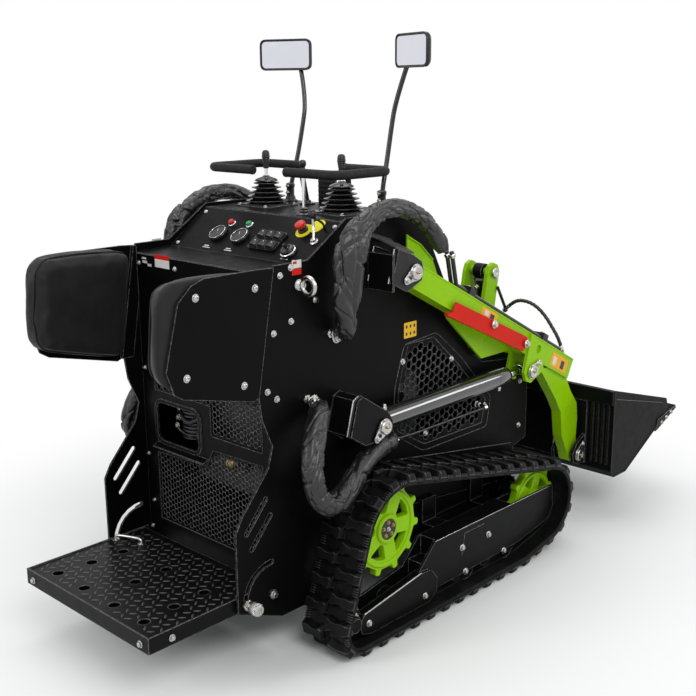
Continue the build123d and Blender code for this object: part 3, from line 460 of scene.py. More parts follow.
def polar(radius, degrees, centre=(0, 0)):
    angle = math.radians(degrees)
    return centre[0] + radius * math.cos(angle), centre[1] + radius * math.sin(angle)


def oblong(x0, x1, z0, z1):
    return (x0, z0), (x1, z0), (x1, z1), (x0, z1)


def at_side(points, y):
    """Points of the side view, (x, z), put in space at one y."""
    return [(x, y, z) for x, z in points]


def rounded(outline, radius, steps=4):
    """A flat polygon with its corners rounded."""
    made = []
    count = len(outline)
    for i, corner in enumerate(outline):
        c = Vector(corner)
        a = Vector(outline[i - 1]) - c
        b = Vector(outline[(i + 1) % count]) - c
        cut = min(radius, a.length * 0.45, b.length * 0.45)
        p, q = c + a.normalized() * cut, c + b.normalized() * cut
        for k in range(steps + 1):
            t = k / steps
            made.append(tuple(p * (1 - t) ** 2 + c * (2 * t * (1 - t)) + q * t ** 2))
    return made


class Kit:
    """Gathers shapes, then makes one object of them."""

    def __init__(self, *materials):
        self.materials = materials
        self.points = []
        self.faces = []
        self.slots = []

    def add(self, points, faces, slot=0):
        start = len(self.points)
        self.points += [Vector(p) for p in points]
        self.faces += [tuple(start + i for i in face) for face in faces]
        self.slots += slot if isinstance(slot, list) else [slot] * len(faces)

    def lathe(self, at, axis, profile, count=20, slot=0, ring=False):
        """A turned shape: the profile's rows are (radius, height) along the axis from a point.

        A ring's profile closes on itself and leaves the middle open."""
        u, v, w = across(axis)
        at = Vector(at)
        points = [at + w * h + p for r, h in profile for p in circle(u, v, r, count)]
        self.add(points, skin(len(profile), count, closed=ring), slot)

    def prism(self, outline, place, depth, slot=0):
        """A flat outline, put in space by place(a, b), thickened along depth."""
        depth = Vector(depth)
        low = [Vector(place(a, b)) for a, b in outline]
        count = len(low)
        points = low + [p + depth for p in low]
        faces = [tuple(range(count)), tuple(range(2 * count - 1, count - 1, -1))]
        for k in range(count):
            n = (k + 1) % count
            faces.append((k, k + count, n + count, n))
        self.add(points, faces, slot)

    def plate(self, outline, y0, y1, slot=0):
        """A plate in the side view: the outline's points are (x, z)."""
        self.prism(outline, lambda x, z: (x, y0, z), (0, y1 - y0, 0), slot)

    def box(self, low, high, slot=0):
        (x0, y0, z0), (x1, y1, z1) = low, high
        self.plate(oblong(x0, x1, z0, z1), y0, y1, slot)

    def tube(self, path, radii, count=16, slot=0, closed=False):
        """A tube along points; radii is one radius or one for each point."""
        path = [Vector(p) for p in path]
        if isinstance(radii, (int, float)):
            radii = [radii] * len(path)
        points = []
        for radius, (p, way, u, v) in zip(radii, carried(path, closed=closed)):
            points += [p + turn for turn in circle(u, v, radius, count)]
        self.add(points, skin(len(path), count, closed), slot)

    def build(self, name, body, bevel=0.0, steps=2, angle=35, limit=30):
        mesh = bpy.data.meshes.new(name)
        mesh.from_pydata([P(*p) for p in self.points], [], self.faces)
        for material in self.materials:
            mesh.materials.append(MATERIALS[material])
        mesh.polygons.foreach_set("material_index", self.slots)
        mesh.validate()
        mesh.shade_smooth()
        mesh.set_sharp_from_angle(angle=math.radians(angle))
        made = put(name, mesh)
        if bevel:
            modifier = made.modifiers.new("edges", "BEVEL")
            modifier.width = bevel / 1000
            modifier.segments = steps
            modifier.limit_method = "ANGLE"
            modifier.angle_limit = math.radians(limit)
        if body:
            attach(made, body)
        return made


# Tracks: the belt's path runs round four wheels, (x, z, radius)

WHEELS = ((*REAR_IDLER, 54), (*FRONT_ROLLER, 40), (*IDLER, 123), (*SPROCKET, 150))
BELT = 16
LUG_COUNT = 38
BELT_STEPS = 6


def belt_path(offset):
    """Arcs and lines round the wheels at a distance, anticlockwise in the side view."""
    count = len(WHEELS)
    normals = []
    for i, (x1, z1, r1) in enumerate(WHEELS):
        x2, z2, r2 = WHEELS[(i + 1) % count]
        length = math.hypot(x2 - x1, z2 - z1)
        u = ((x2 - x1) / length, (z2 - z1) / length)
        k = (r1 - r2) / length
        s = math.sqrt(1 - k * k)
        normals.append((k * u[0] + s * u[1], k * u[1] - s * u[0]))
    path = []
    for i, (x1, z1, r1) in enumerate(WHEELS):
        x2, z2, r2 = WHEELS[(i + 1) % count]
        before, after = normals[i - 1], normals[i]
        start = math.atan2(before[1], before[0])
        turn = (math.atan2(after[1], after[0]) - start) % (2 * math.pi)
        path.append(("arc", (x1, z1, r1 + offset, start), (r1 + offset) * turn, turn))
        p = (x1 + (r1 + offset) * after[0], z1 + (r1 + offset) * after[1])
        q = (x2 + (r2 + offset) * after[0], z2 + (r2 + offset) * after[1])
        path.append(("line", (p, q, after), math.dist(p, q), 0))
    return path


BELT_PATH = belt_path(BELT)
BELT_LENGTH = sum(part[2] for part in BELT_PATH)
LUG_PITCH = BELT_LENGTH / LUG_COUNT


def on_belt(s, height, y):
    """The point at distance s along the belt's outside, lifted off it by height."""
    s = s % BELT_LENGTH
    for kind, data, length, turn in BELT_PATH:
        if s <= length:
            break
        s -= length
    if kind == "arc":
        x, z, r, start = data
        a = start + turn * s / length
        return (x + (r + height) * math.cos(a), y, z + (r + height) * math.sin(a))
    p, q, n = data
    t = s / length
    return (p[0] + (q[0] - p[0]) * t + n[0] * height, y, p[1] + (q[1] - p[1]) * t + n[1] * height)


def loft(kit, stations, width, slot=0, dark=()):
    """Joins rows of points, one row for each station, and closes both ends; the sides it lists as shaded take
    the next slot, a darker copy of the material as painted shade.
    """
    points = [p for row in stations for p in row]
    slots = [slot + 1 if k in dark else slot for _ in stations[1:] for k in range(width)]
    kit.add(points, skin(len(stations), width, turned=True), slots + [slot, slot])


LUG_BLOCK = ((1.0, 19, 12, 4), (0.97, 20, 12, 15), (0.9, 24, 14, 21.4), (0.72, 25, 15, 21.8),
             (0.5, 19, 10, 21.8), (0.32, 20, 11, 21.8), (0.16, 27, 17, 21.8), (0.09, 24, 14, 21.4),
             (0.03, 20, 12, 15), (0.0, 19, 12, 4))
LUG_WEB = ((-0.1, 0.06, 7, 3.5, 19), (0.0, 0.25, 8, 4, 19), (0.1, 0.44, 7, 3.5, 19))


def lug_rows(kit, rows, middle, sign):
    """One tapered block across the belt; its rows are (share of the half width, shift, base, top, height)."""
    half = (TRACK_OUTER_Y - TRACK_INNER_Y) / 2
    stations = []
    for share, shift, base, top, height in rows:
        s = middle + shift * LUG_PITCH
        y = sign * (TRACK_MID_Y - share * half)
        stations.append([on_belt(s + ds, h, y)
                         for ds, h in ((-base, -1), (-top, height * 0.86), (-top + 1.6, height),
                                       (top - 1.6, height), (top, height * 0.86), (base, -1))])
    # the lug's flanks and top (sides 0, 2 and 4) take the darker rubber as painted shade
    loft(kit, stations, 6, dark=(0, 2, 4))


def lug(kit, middle, sign):
    """A lug: a block on one half of the belt, one half a pitch further on the other, a web between them."""
    lug_rows(kit, [(share, 0.5, base, top, height) for share, base, top, height in LUG_BLOCK], middle, sign)
    lug_rows(kit, [(-share, 0.0, base, top, height) for share, base, top, height in LUG_BLOCK[::-1]], middle,
             sign)
    lug_rows(kit, LUG_WEB, middle, sign)


RIB_ROWS = ((0, -9), (0, 1), (3, 5), (16, 4), (20, -0.5))
RIBS_PER_LUG = 4
RIB_SPACING = 7.5
RIB_OUT = 89


def track(side, sign):
    """The rubber track: its carcass, lugs, edge ribs and inner guide blocks."""
    kit = Kit("track_rubber", "track_dark")
    inner, outer = TRACK_INNER_Y + 1, TRACK_OUTER_Y - 1
    section = ((inner, -3), (inner + 4, 0), (outer - 4, 0), (outer, -3), (outer, -BELT + 4),
               (outer - 5, -BELT + 1), (outer - 18, -BELT + 3), (TRACK_MID_Y + 30, -BELT + 3),
               (TRACK_MID_Y + 26, -BELT + 0.5), (TRACK_MID_Y - 26, -BELT + 0.5),
               (TRACK_MID_Y - 30, -BELT + 3), (inner + 18, -BELT + 3), (inner + 5, -BELT + 1),
               (inner, -BELT + 4))
    steps = LUG_COUNT * BELT_STEPS
    points = [on_belt(j * BELT_LENGTH / steps, h, sign * y) for j in range(steps) for y, h in section]
    # the carcass takes the darker rubber, painted shade between the lugs
    kit.add(points, skin(steps, len(section), closed=True, turned=True), 1)
    for i in range(LUG_COUNT):
        middle = i * LUG_PITCH
        lug(kit, middle, sign)
        for edge, phase in ((1, 0.5), (-1, 0.0)):
            for k in range(RIBS_PER_LUG):
                s = middle + phase * LUG_PITCH + (k - (RIBS_PER_LUG - 1) / 2) * RIB_SPACING
                rows = []
                for inset, height in RIB_ROWS:
                    y = sign * (TRACK_MID_Y + edge * (RIB_OUT - inset))
                    rows.append([on_belt(s - 1.7, -11, y), on_belt(s - 1.2, height, y),
                                 on_belt(s + 1.2, height, y), on_belt(s + 1.7, -11, y)])
                loft(kit, rows, 4)
    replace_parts(kit.build(f"rubber_track_{side}", "chassis", bevel=0.7, steps=1, angle=32,
                          limit=28), f"track_{side}")


for side_name, side_sign in SIDES:
    track(side_name, side_sign)


# Smooth lines: a route's NURBS spline, read as points a few millimetres apart

def smooth_line(route, spacing=4.0):
    curve = bpy.data.curves.new("route", "CURVE")
    curve.dimensions = "3D"
    curve.resolution_u = 24
    spline = curve.splines.new("NURBS")
    spline.points.add(len(route) - 1)
    for control, place in zip(spline.points, route):
        control.co = (*place, 1.0)
    spline.order_u = 3
    spline.use_endpoint_u = True
    holder = put("route", curve)
    mesh = bpy.data.meshes.new_from_object(holder)
    line = [v.co.copy() for v in mesh.vertices]
    bpy.data.objects.remove(holder)
    bpy.data.meshes.remove(mesh)
    bpy.data.curves.remove(curve)
    even = [line[0]]
    left = spacing
    for a, b in zip(line, line[1:]):
        step = (b - a).length
        while step > 0 and left <= step:
            a = a + (b - a) * (left / step)
            even.append(a.copy())
            step = (b - a).length
            left = spacing
        left -= step
    even.append(line[-1])
    return even


def length_of(line):
    return sum((b - a).length for a, b in zip(line, line[1:]))


# Hose sleeves: crumpled nylon round a bundle of hoses, y measured from the body's side

HOSE_R = 33
UPPER_ROUTE = ((-78, 34, 918), (-92, 56, 975), (-102, 68, 1070), (-92, 68, 1165), (-48, 66, 1236),
               (30, 64, 1276), (125, 64, 1281), (215, 64, 1250), (285, 65, 1193), (328, 66, 1130))
LOWER_ROUTE = ((-176, 34, 742), (-214, 58, 712), (-262, 88, 650), (-292, 112, 580), (-286, 124, 510),
               (-232, 126, 466), (-160, 120, 492), (-90, 100, 536), (-15, 76, 558), (60, 60, 564),
               (120, 52, 564))


def crease(angle, at, width):
    """A sharp fold line's depth, by the angle from it."""
    gap = (angle - at + math.pi) % (2 * math.pi) - math.pi
    return max(0.0, 1 - abs(gap) / width) ** 1.5


# How wide a sleeve is in the side view, and how thick across, along its length
UPPER_SHAPE = ((0.0, 0.85, 0.85), (0.08, 1.1, 0.9), (0.18, 1.62, 0.95), (0.34, 1.78, 0.98), (0.5, 1.02, 0.9),
               (0.62, 0.86, 0.86), (1.0, 0.84, 0.84))
LOWER_SHAPE = ((0.0, 0.95, 0.95), (0.2, 1.04, 1.0), (0.5, 1.02, 1.0), (0.8, 0.98, 0.96), (1.0, 0.9, 0.9))


def shape_at(shape, share):
    for (a, wide_a, thick_a), (b, wide_b, thick_b) in zip(shape, shape[1:]):
        if share <= b:
            t = (share - a) / (b - a)
            t = t * t * (3 - 2 * t)
            return wide_a + (wide_b - wide_a) * t, thick_a + (thick_b - thick_a) * t
    return shape[-1][1:]


SLEEVE_STEP = 2.6
SLEEVE_SIDES = 64
BEND_REACH = 10
CUFF = (12, 44)
CUFF_LIFT = 1.8
END_TAPER = 30.0


def sleeve(name, route, shape, sign, seed):
    """A fabric sleeve: long creases on the straight runs, folds crowded inside each bend, gathered ends."""
    line = smooth_line([(x, (BODY_Y + out) * sign, z) for x, out, z in route], SLEEVE_STEP)
    count = SLEEVE_SIDES
    total = len(line)
    length = length_of(line)
    points = []
    uvs = []
    run = 0.0
    for i, (p, way, u, v) in enumerate(carried(line, 4)):
        bend_a = (line[i + BEND_REACH] - p).normalized() if i < total - BEND_REACH else way
        bend_b = (p - line[i - BEND_REACH]).normalized() if i >= BEND_REACH else way
        inward = bend_a - bend_b
        bend = min(1.0, inward.length * 2.6)
        inward = inward.normalized() if inward.length > 1e-4 else u
        if i:
            run += (p - line[i - 1]).length
        near_end = max(0.0, 1 - min(run, length - run) / END_TAPER)
        wide, thick = shape_at(shape, run / length)
        outward = Vector((0, sign, 0))
        flat = way.cross(outward).normalized()
        split = max(0.0, min(1.0, (wide - 1.0) / 0.3))
        cuff = CUFF_LIFT if CUFF[0] < run < CUFF[1] else 0.0
        wander = [noise.noise(Vector((run / 150.0, seed * 3.1, k * 5.0))) * 2.2 for k in range(4)]
        for k in range(count):
            a = 2 * math.pi * k / count
            out = u * math.cos(a) + v * math.sin(a)
            slow = noise.noise(Vector((run / 90.0, seed * 7.3, 0)) + out * 0.7)
            long_folds = sum(crease(a, 1.6 * n + wander[n], 0.36) for n in range(4))
            inner = 0.3 + 0.7 * max(0.0, out.dot(inward))
            phase = run / 10.0 + 2.4 * noise.noise(Vector((run / 90.0, seed, 1)) + out * 1.1)
            fold = max(0.0, 1 - abs(math.sin(phase)) * 2.2)
            slant = noise.noise(Vector((run / 62.0, seed * 2.2, 4)) + out * 0.9)
            kink = max(0.0, 1 - abs(slant) * 8)
            small = noise.noise(Vector((run / 30.0, seed * 1.3, 6)) + out * 1.3)
            facing = out.dot(outward)
            groove = max(0.0, 1 - abs(out.dot(flat) - 0.12
                                      - 0.1 * noise.noise(Vector((run / 60.0, seed, 9)))) / 0.22)
            r = HOSE_R - 0.4 + 3.2 * slow - 6.0 * long_folds * (1 - 0.6 * bend)
            r -= (bend * inner * (1.5 + 8.5 * fold) + 5.5 * kink
                  + 1.6 * max(0.0, 1 - abs(small) * 6) * (0.3 + bend))
            r -= split * 13 * groove ** 1.2 * max(0.0, facing)
            r -= near_end * (11 + 2.0 * math.sin(a * 9 + seed)) - cuff
            r = max(HOSE_R * 0.45, min(HOSE_R + 1.2, r))
            spread = out * r
            across_y = outward * spread.dot(outward)
            points.append(p + (spread - across_y) * wide + across_y * thick)
            uvs.append((run / 200.0, k / count))
    mesh = bpy.data.meshes.new(name)
    mesh.from_pydata([P(*p) for p in points], [], skin(total, count))
    layer = mesh.uv_layers.new(name="along")
    for loop in mesh.loops:
        layer.data[loop.index].uv = uvs[loop.vertex_index]
    mesh.materials.append(MATERIALS["sleeve"])
    mesh.shade_smooth()
    made = put(name, mesh)
    return made, line


def ties(name, line, body, sign):
    """Cable ties and hook-and-loop bands round a sleeve's ends."""
    kit = Kit("plastic", "zinc")
    for i in (6, len(line) - 9):
        way = (line[i + 1] - line[i - 1]).normalized()
        kit.lathe(line[i], way, ((22.5, -3), (25.5, -2.6), (26, 0), (25.5, 2.6), (22.5, 3)), 28)
        u, v, w = across(way)
        kit.lathe(line[i] + v * sign * 26, way, ((3, -4), (4.5, -3), (4.5, 3), (3, 4)), 8)
    kit.build(name, body, bevel=0.4)


for side_name, side_sign in SIDES:
    upper, _ = sleeve(f"upper_sleeve_{side_name}", UPPER_ROUTE, UPPER_SHAPE, side_sign,
                               1.0 + side_sign)
    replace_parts(upper, f"upper_hose_{side_name}")
    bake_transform(upper)
    lower, lower_line = sleeve(f"lower_sleeve_{side_name}", LOWER_ROUTE, LOWER_SHAPE, side_sign,
                               4.0 + side_sign)
    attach(lower, "chassis")
    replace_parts(lower, f"lower_hose_{side_name}")
    ties(f"lower_ties_{side_name}", lower_line, "chassis", side_sign)

TILT_HOSE = ((1122, -80, 786), (1107, -115, 813), (1077, -170, 833), (1057, -238, 832), (1053, -290, 801),
             (1064, -325, 748), (1079, -346, 702), (1084, -354, 668))


def tilt_hose():
    """The tilt cylinder's hose in its spiral guard."""
    line = smooth_line(TILT_HOSE, 2.0)
    kit = Kit("track_rubber", "plastic", "zinc")
    kit.tube(line, 6.4, 16)
    spiral = []
    for i, (p, way, u, v) in enumerate(carried(line)):
        a = i * 0.62
        if 6 < i < len(line) - 8:
            spiral.append(p + (u * math.cos(a) + v * math.sin(a)) * 6.6)
    kit.tube(spiral, 1.3, 8, slot=1)
    for i, j in ((0, 9), (len(line) - 1, len(line) - 10)):
        way = (line[j] - line[i]).normalized()
        kit.lathe(line[i] + way * 0.2, way, ((7.6, 0), (7.8, 1), (7.8, 14), (7, 15.5), (6.4, 15.5)), 20,
                  slot=2)
    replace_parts(kit.build("tilt_hose_guarded", "boom"), "tilt_hose")


tilt_hose()


# Operator's pads: inflated vinyl cushions with a piped seam

PAD_OUTLINE = ((-366, 1134), (-402, 1153), (-549, 1166), (-666, 1163), (-704, 1128), (-718, 973), (-716, 913),
               (-692, 880), (-640, 862), (-430, 813), (-402, 834))
PAD_INNER_Y = 254
PAD_OUTER_Y = 318
PAD_CORNER = 26
PAD_LEAN = 9
PAD_VOXEL = 0.006
PAD_SWELL = 7
PAD_SEAM_INSET = 11
PAD_WELT = 2.4
SEAM_WIDTH = 9
CLOTH_FRAMES = 20


def inflate(made, cap):
    """Swells a closed mesh with the cloth simulation; no point moves further than cap, in millimetres."""
    rest = [v.co.copy() for v in made.data.vertices]
    outer = PAD_OUTER_Y / 1000 - 0.012
    group = made.vertex_groups.new(name="held")
    group.add([i for i, p in enumerate(rest) if abs(p.y) > outer], 1.0, "REPLACE")
    modifier = made.modifiers.new("cloth", "CLOTH")
    settings = modifier.settings
    settings.use_pressure = True
    settings.uniform_pressure_force = 4.0
    settings.effector_weights.gravity = 0
    settings.tension_stiffness = 20
    settings.compression_stiffness = 20
    settings.bending_stiffness = 2.0
    settings.vertex_group_mass = "held"
    modifier.point_cache.frame_start = 1
    modifier.point_cache.frame_end = CLOTH_FRAMES
    for number in range(1, CLOTH_FRAMES + 1):
        bpy.context.scene.frame_set(number)
    swollen = made.evaluated_get(bpy.context.evaluated_depsgraph_get()).to_mesh()
    moved = [v.co.copy() for v in swollen.vertices]
    made.evaluated_get(bpy.context.evaluated_depsgraph_get()).to_mesh_clear()
    made.modifiers.remove(modifier)
    bpy.context.scene.frame_set(1)
    for vertex, start, end in zip(made.data.vertices, rest, moved):
        shift = end - start
        if shift.length > cap / 1000:
            shift = shift.normalized() * cap / 1000
        vertex.co = start + shift


def apply_to(made, kind, **settings):
    """Puts one modifier on an object and makes its result the mesh."""
    modifier = made.modifiers.new("shape", kind)
    for name, value in settings.items():
        setattr(modifier, name, value)
    mesh = bpy.data.meshes.new_from_object(made.evaluated_get(bpy.context.evaluated_depsgraph_get()))
    made.modifiers.remove(modifier)
    made.data = mesh


def cushion(side, sign):
    """One pad: a drawn body, swollen by the cloth simulation, then smoothed, with a seam pressed in."""
    outline = rounded(PAD_OUTLINE, PAD_CORNER, 5)
    middle = Vector((sum(p[0] for p in outline), sum(p[1] for p in outline))) / len(outline)
    kit = Kit("vinyl")
    lean = 0 if sign > 0 else PAD_LEAN
    rings = ((PAD_OUTER_Y, 10), (PAD_OUTER_Y - 8, 7), (PAD_INNER_Y + 12, 7 + lean),
             (PAD_INNER_Y + 5, 9 + lean), (PAD_INNER_Y + 2, 13 + lean))
    points = []
    for y, inset in rings:
        for a, b in outline:
            way = (middle - Vector((a, b)))
            p = Vector((a, b)) + way.normalized() * inset
            points.append((p.x, y * sign, p.y))
    kit.add(points, skin(len(rings), len(outline), turned=True))
    made = kit.build(f"pad_{side}", None)
    apply_to(made, "REMESH", mode="VOXEL", voxel_size=PAD_VOXEL)
    inflate(made, PAD_SWELL)
    apply_to(made, "SMOOTH", iterations=10, factor=0.5)
    seam = [Vector(p) + (middle - Vector(p)).normalized() * (PAD_SEAM_INSET + lean) for p in outline]
    for vertex in made.data.vertices:
        spot = Vector((vertex.co.x * 1000 + X_MID, vertex.co.z * 1000))
        y = abs(vertex.co.y) * 1000
        near = min((spot - q).length for q in seam[::2])
        if y < PAD_INNER_Y + 16 and near < SEAM_WIDTH:
            vertex.co.y += sign * 0.0026 * (1 - near / SEAM_WIDTH) ** 2
        vertex.co.y += sign * 0.0009 * noise.noise(vertex.co * 14)
    made.data.shade_smooth()
    smooth = made.modifiers.new("smooth", "SUBSURF")
    smooth.levels = 1
    smooth.render_levels = 1
    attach(made, "chassis")
    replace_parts(made, f"pad_cushion_{side}")
    piping(side, sign, made, seam)


def piping(side, sign, pad, seam):
    """The welt along the cushion's front seam, laid on the swollen surface."""
    mesh = pad.data
    lowest = {}
    for vertex in mesh.vertices:
        key = (round((vertex.co.x * 1000 + X_MID) / 6), round(vertex.co.z * 1000 / 6))
        y = abs(vertex.co.y) * 1000
        lowest[key] = min(lowest.get(key, 999), y)
    line = []
    for spot in seam:
        cell = (round(spot.x / 6), round(spot.y / 6))
        near = [lowest[(cell[0] + i, cell[1] + j)] for i in (-1, 0, 1) for j in (-1, 0, 1)
                if (cell[0] + i, cell[1] + j) in lowest]
        y = sum(near) / len(near) if near else PAD_INNER_Y
        line.append(Vector((spot.x, (y - 0.6) * sign, spot.y)))
    for _ in range(3):
        line = [(line[i - 1] + line[i] * 2 + line[(i + 1) % len(line)]) / 4 for i in range(len(line))]
    kit = Kit("vinyl")
    kit.tube(line, PAD_WELT, 8, closed=True)
    kit.build(f"pad_welt_{side}", "chassis")


for side_name, side_sign in SIDES:
    cushion(side_name, side_sign)


# Platform: raised lozenges of the tread plate, between its round holes

DECK_Z = 222
DECK_HOLES = ((-724, 215), (-724, 75), (-724, -75), (-724, -215), (-615, 205), (-600, 0), (-615, -205),
              (-505, 200), (-490, 0), (-505, -200))


TREAD_STEP = 26
HOLE_MARGIN = 17 + 13
LOZENGE = ((-11, 0.3), (-8, 2.2), (-3, 3.3), (3, 3.3), (8, 2.2), (11, 0.3))


def tread_plate():
    """Lozenges in a woven pattern, none on a hole; a lozenge's rows are (place along it, half width)."""
    kit = Kit("tread")
    step = TREAD_STEP
    for i in range(-9, 9):
        for j in range(-13, 14):
            x = -562 + i * step
            y = j * step + (step / 2 if i % 2 else 0)
            if not (-764 < x < -360 and abs(y) < 294):
                continue
            if any(math.hypot(x - a, y - b) < HOLE_MARGIN for a, b in DECK_HOLES):
                continue
            lean = math.radians(45 if (i + j) % 2 else -45)
            c, s = math.cos(lean), math.sin(lean)
            rows = []
            for t, half in LOZENGE:
                lift = 1.7 * (1 - (t / 13) ** 2)
                row = []
                for across_t, h in ((-half, -0.2), (-half * 0.45, lift), (half * 0.45, lift), (half, -0.2)):
                    row.append((x + t * c - across_t * s, y + t * s + across_t * c, DECK_Z + h))
                rows.append(row)
            loft(kit, rows, 4)
    kit.build("tread_lozenges", "platform", angle=50)


tread_plate()


# Wheels

def wheel_plate(name, outer, holes, y, half, bevel, material, body):
    """A plate in the side view with holes and rounded rims, made from a filled curve."""
    curve = bpy.data.curves.new(name, "CURVE")
    curve.dimensions = "2D"
    curve.fill_mode = "BOTH"
    curve.extrude = (half - bevel) / 1000
    curve.bevel_depth = bevel / 1000
    curve.bevel_resolution = 2
    for outline in [outer] + holes:
        spline = curve.splines.new("POLY")
        spline.points.add(len(outline) - 1)
        for control, (x, z) in zip(spline.points, outline):
            spot = P(x, 0, z)
            control.co = (spot.x, spot.z, 0, 1)
        spline.use_cyclic_u = True
    holder = put(name + "_line", curve)
    mesh = bpy.data.meshes.new_from_object(holder)
    bpy.data.objects.remove(holder)
    bpy.data.curves.remove(curve)
    mesh.transform(Matrix(((1, 0, 0, 0), (0, 0, -1, y / 1000), (0, 1, 0, 0), (0, 0, 0, 1))))
    mesh.name = name
    mesh.materials.clear()
    mesh.materials.append(MATERIALS[material])
    mesh.shade_smooth()
    mesh.set_sharp_from_angle(angle=math.radians(40))
    made = put(name, mesh)
    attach(made, body)
    return made


def spun(corners, centre, angle):
    """Points of a wheel's own plane, turned by an angle and put at its centre."""
    c, s = math.cos(math.radians(angle)), math.sin(math.radians(angle))
    return [(centre[0] + a * c - b * s, centre[1] + a * s + b * c) for a, b in corners]


def toothed(centre, count, root, tip, phase):
    """A wheel's outline with its teeth, their corners rounded."""
    outline = []
    flank = ((root, -15), (root + 4, -10.5), (tip - 2, -8), (tip, -5))
    corners = flank + tuple((a, -b) for a, b in flank[::-1])
    for i in range(count):
        outline += spun(rounded(corners, 3, 2)[3:-3], centre, phase + 360 * i / count)
    return outline


def drive_wheel(side, sign, name, node, centre, root, tip, scale, phase, window_phase):
    """A cast wheel with teeth, five rounded windows, a raised rim and hub rings."""
    y = TRACK_MID_Y * sign
    windows = []
    for i in range(5):
        corners = [(a * scale, b * scale) for a, b in ((50, -9), (95, -40), (104, 0), (95, 40), (50, 9))]
        windows.append(rounded(spun(corners, centre, window_phase + 72 * i), 11 * scale, 4))
    plate = wheel_plate(f"{name}_{side}", toothed(centre, 11, root, tip, phase), windows, y, 14, 2.5,
                        "green_paint", "chassis")
    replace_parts(plate, node)
    kit = Kit("green_paint", "plastic", "brass", "zinc", "black_steel")
    for out in (1, -1):
        face = Vector((centre[0], y + out * 12, centre[1]))
        rim = root - 4
        kit.lathe(face, (0, out, 0), ((rim - 13, 0), (rim - 12, 5), (rim - 9, 7.5), (rim - 3, 7.5), (rim, 5),
                                      (rim, 0)), 72, ring=True)
        hub = 46 * scale
        kit.lathe(face, (0, out, 0), ((hub, 0), (hub, 6), (hub - 3, 10), (hub - 9, 11.5), (hub - 12, 9)), 48)
        kit.lathe(face + Vector((0, out * 6, 0)), (0, out, 0), ((hub - 13, 0), (hub - 13, 3.4), (4, 3.6)), 32,
                  slot=1)
        for k in range(5):
            a, b = polar(hub - 24, 72 * k + 20)
            bolt(kit, face + Vector((a, out * 9, b)), (0, out, 0), 4.4, "hex", slot=2)
        bolt(kit, face + Vector((0, out * 9, 0)), (0, out, 0), 5, "hex", slot=3)
    kit.lathe((centre[0], sign * (BODY_Y + 0.5), centre[1]), (0, sign, 0),
              ((60, 0), (60, 20), (44, 34), (34, 90)), 40, slot=4)
    kit.build(f"{name}_rings_{side}", "chassis", bevel=0.8)


def bolt(kit, at, axis, size, style="dome", slot=0):
    """A bolt head: size is the radius of its head, in millimetres."""
    u, v, w = across(axis)
    at = Vector(at)
    if style == "hex":
        kit.lathe(at, axis, ((size * 1.45, 0), (size * 1.5, size * 0.12), (size * 1.42, size * 0.26)), 20,
                  slot)
        corners = [polar(size * 1.08, 60 * k) for k in range(6)]
        kit.prism(corners, lambda a, b: at + w * size * 0.2 + u * a + v * b, w * size * 0.75, slot)
        kit.lathe(at + w * size * 0.9, axis, ((size * 0.98, 0), (size * 0.8, size * 0.16)), 18, slot)
        return
    profile = ((size * 1.3, 0), (size * 1.33, size * 0.1), (size * 1.26, size * 0.2), (size, size * 0.24),
               (size * 0.97, size * 0.5), (size * 0.8, size * 0.72), (size * 0.5, size * 0.82),
               (size * 0.44, size * 0.8), (size * 0.4, size * 0.4))
    kit.lathe(at, axis, profile, 20, slot)


for side_name, side_sign in SIDES:
    drive_wheel(side_name, side_sign, "sprocket_wheel", f"sprocket_{side_name}", SPROCKET, 124, 145, 1.0,
                -7.8, 29.7)
    drive_wheel(side_name, side_sign, "idler_wheel", f"front_idler_{side_name}", IDLER, 104, 121, 0.86, 12,
                35)


# Bolts: tables of the heads that the photograph shows, mirrored to both sides

HEX_BOLT = 6.6
SIDE_BOLTS = ((-295, 1125), (-257, 992), (-161, 1038), (-323, 968), (-351, 808), (-317, 780), (-255, 1142),
              (217, 784), (463, 747), (332, 520), (653, 544), (866, 586), (866, 420))
PAD_BOLTS = ((-589, 1107), (-390, 1104), (-627, 904), (-437, 845))
FRAME_Y = 475
ARM_PLATE_Y = 487
FRAME_BOLTS = ((483, 161), (340, 161), (574, 71), (360, 70))
ARM_PLATE_BOLTS = ((-122, 78), (138, 69))
REAR_X = -316
REAR_BOLTS = ((305, 471), (287, 314), (304, 219), (301, 760), (301, 1096), (120, 1096))
PANEL_CORNERS = ((-170, 292), (-52, 292))


def fasteners():
    for name, sign in SIDES:
        kit = Kit("zinc", "black_gloss")
        for x, z in SIDE_BOLTS:
            bolt(kit, (x, sign * (BODY_Y + 0.2), z), (0, sign, 0), HEX_BOLT, "hex")
        for x, z in PAD_BOLTS:
            bolt(kit, (x, sign * (BODY_Y + 5.2), z), (0, sign, 0), 8.4)
        for x, z in ARM_PLATE_BOLTS:
            bolt(kit, (x, sign * (ARM_PLATE_Y + 0.2), z), (0, sign, 0), 7.5, "hex")
        for x, z in FRAME_BOLTS:
            bolt(kit, (x, sign * (FRAME_Y + 0.2), z), (0, sign, 0), 8, "hex")
        for y, z in REAR_BOLTS:
            bolt(kit, (REAR_X - 0.2, sign * y, z), (-1, 0, 0), HEX_BOLT)
        for x, y in PANEL_CORNERS:
            bolt(kit, on_panel(x, sign * y, 0.2), PANEL_UP, 5.5)
        bolt(kit, (-354, sign * (BODY_Y + 9.2), 203), (0, sign, 0), 8.5, "hex")
        kit.build(f"body_bolts_{name}", "chassis", bevel=0.3)


# The sloping panel's own frame: x and y as in the plan, then a height square to the panel

PANEL_X = -183
PANEL_Z = 1135
PANEL_RISE = 0.7365
PANEL_UP = Vector((-PANEL_RISE, 0, 1)).normalized()
PANEL_ALONG = Vector((1, 0, PANEL_RISE)).normalized()


def on_panel(x, y, height):
    return Vector((x, y, PANEL_Z + (x - PANEL_X) * PANEL_RISE)) + PANEL_UP * height


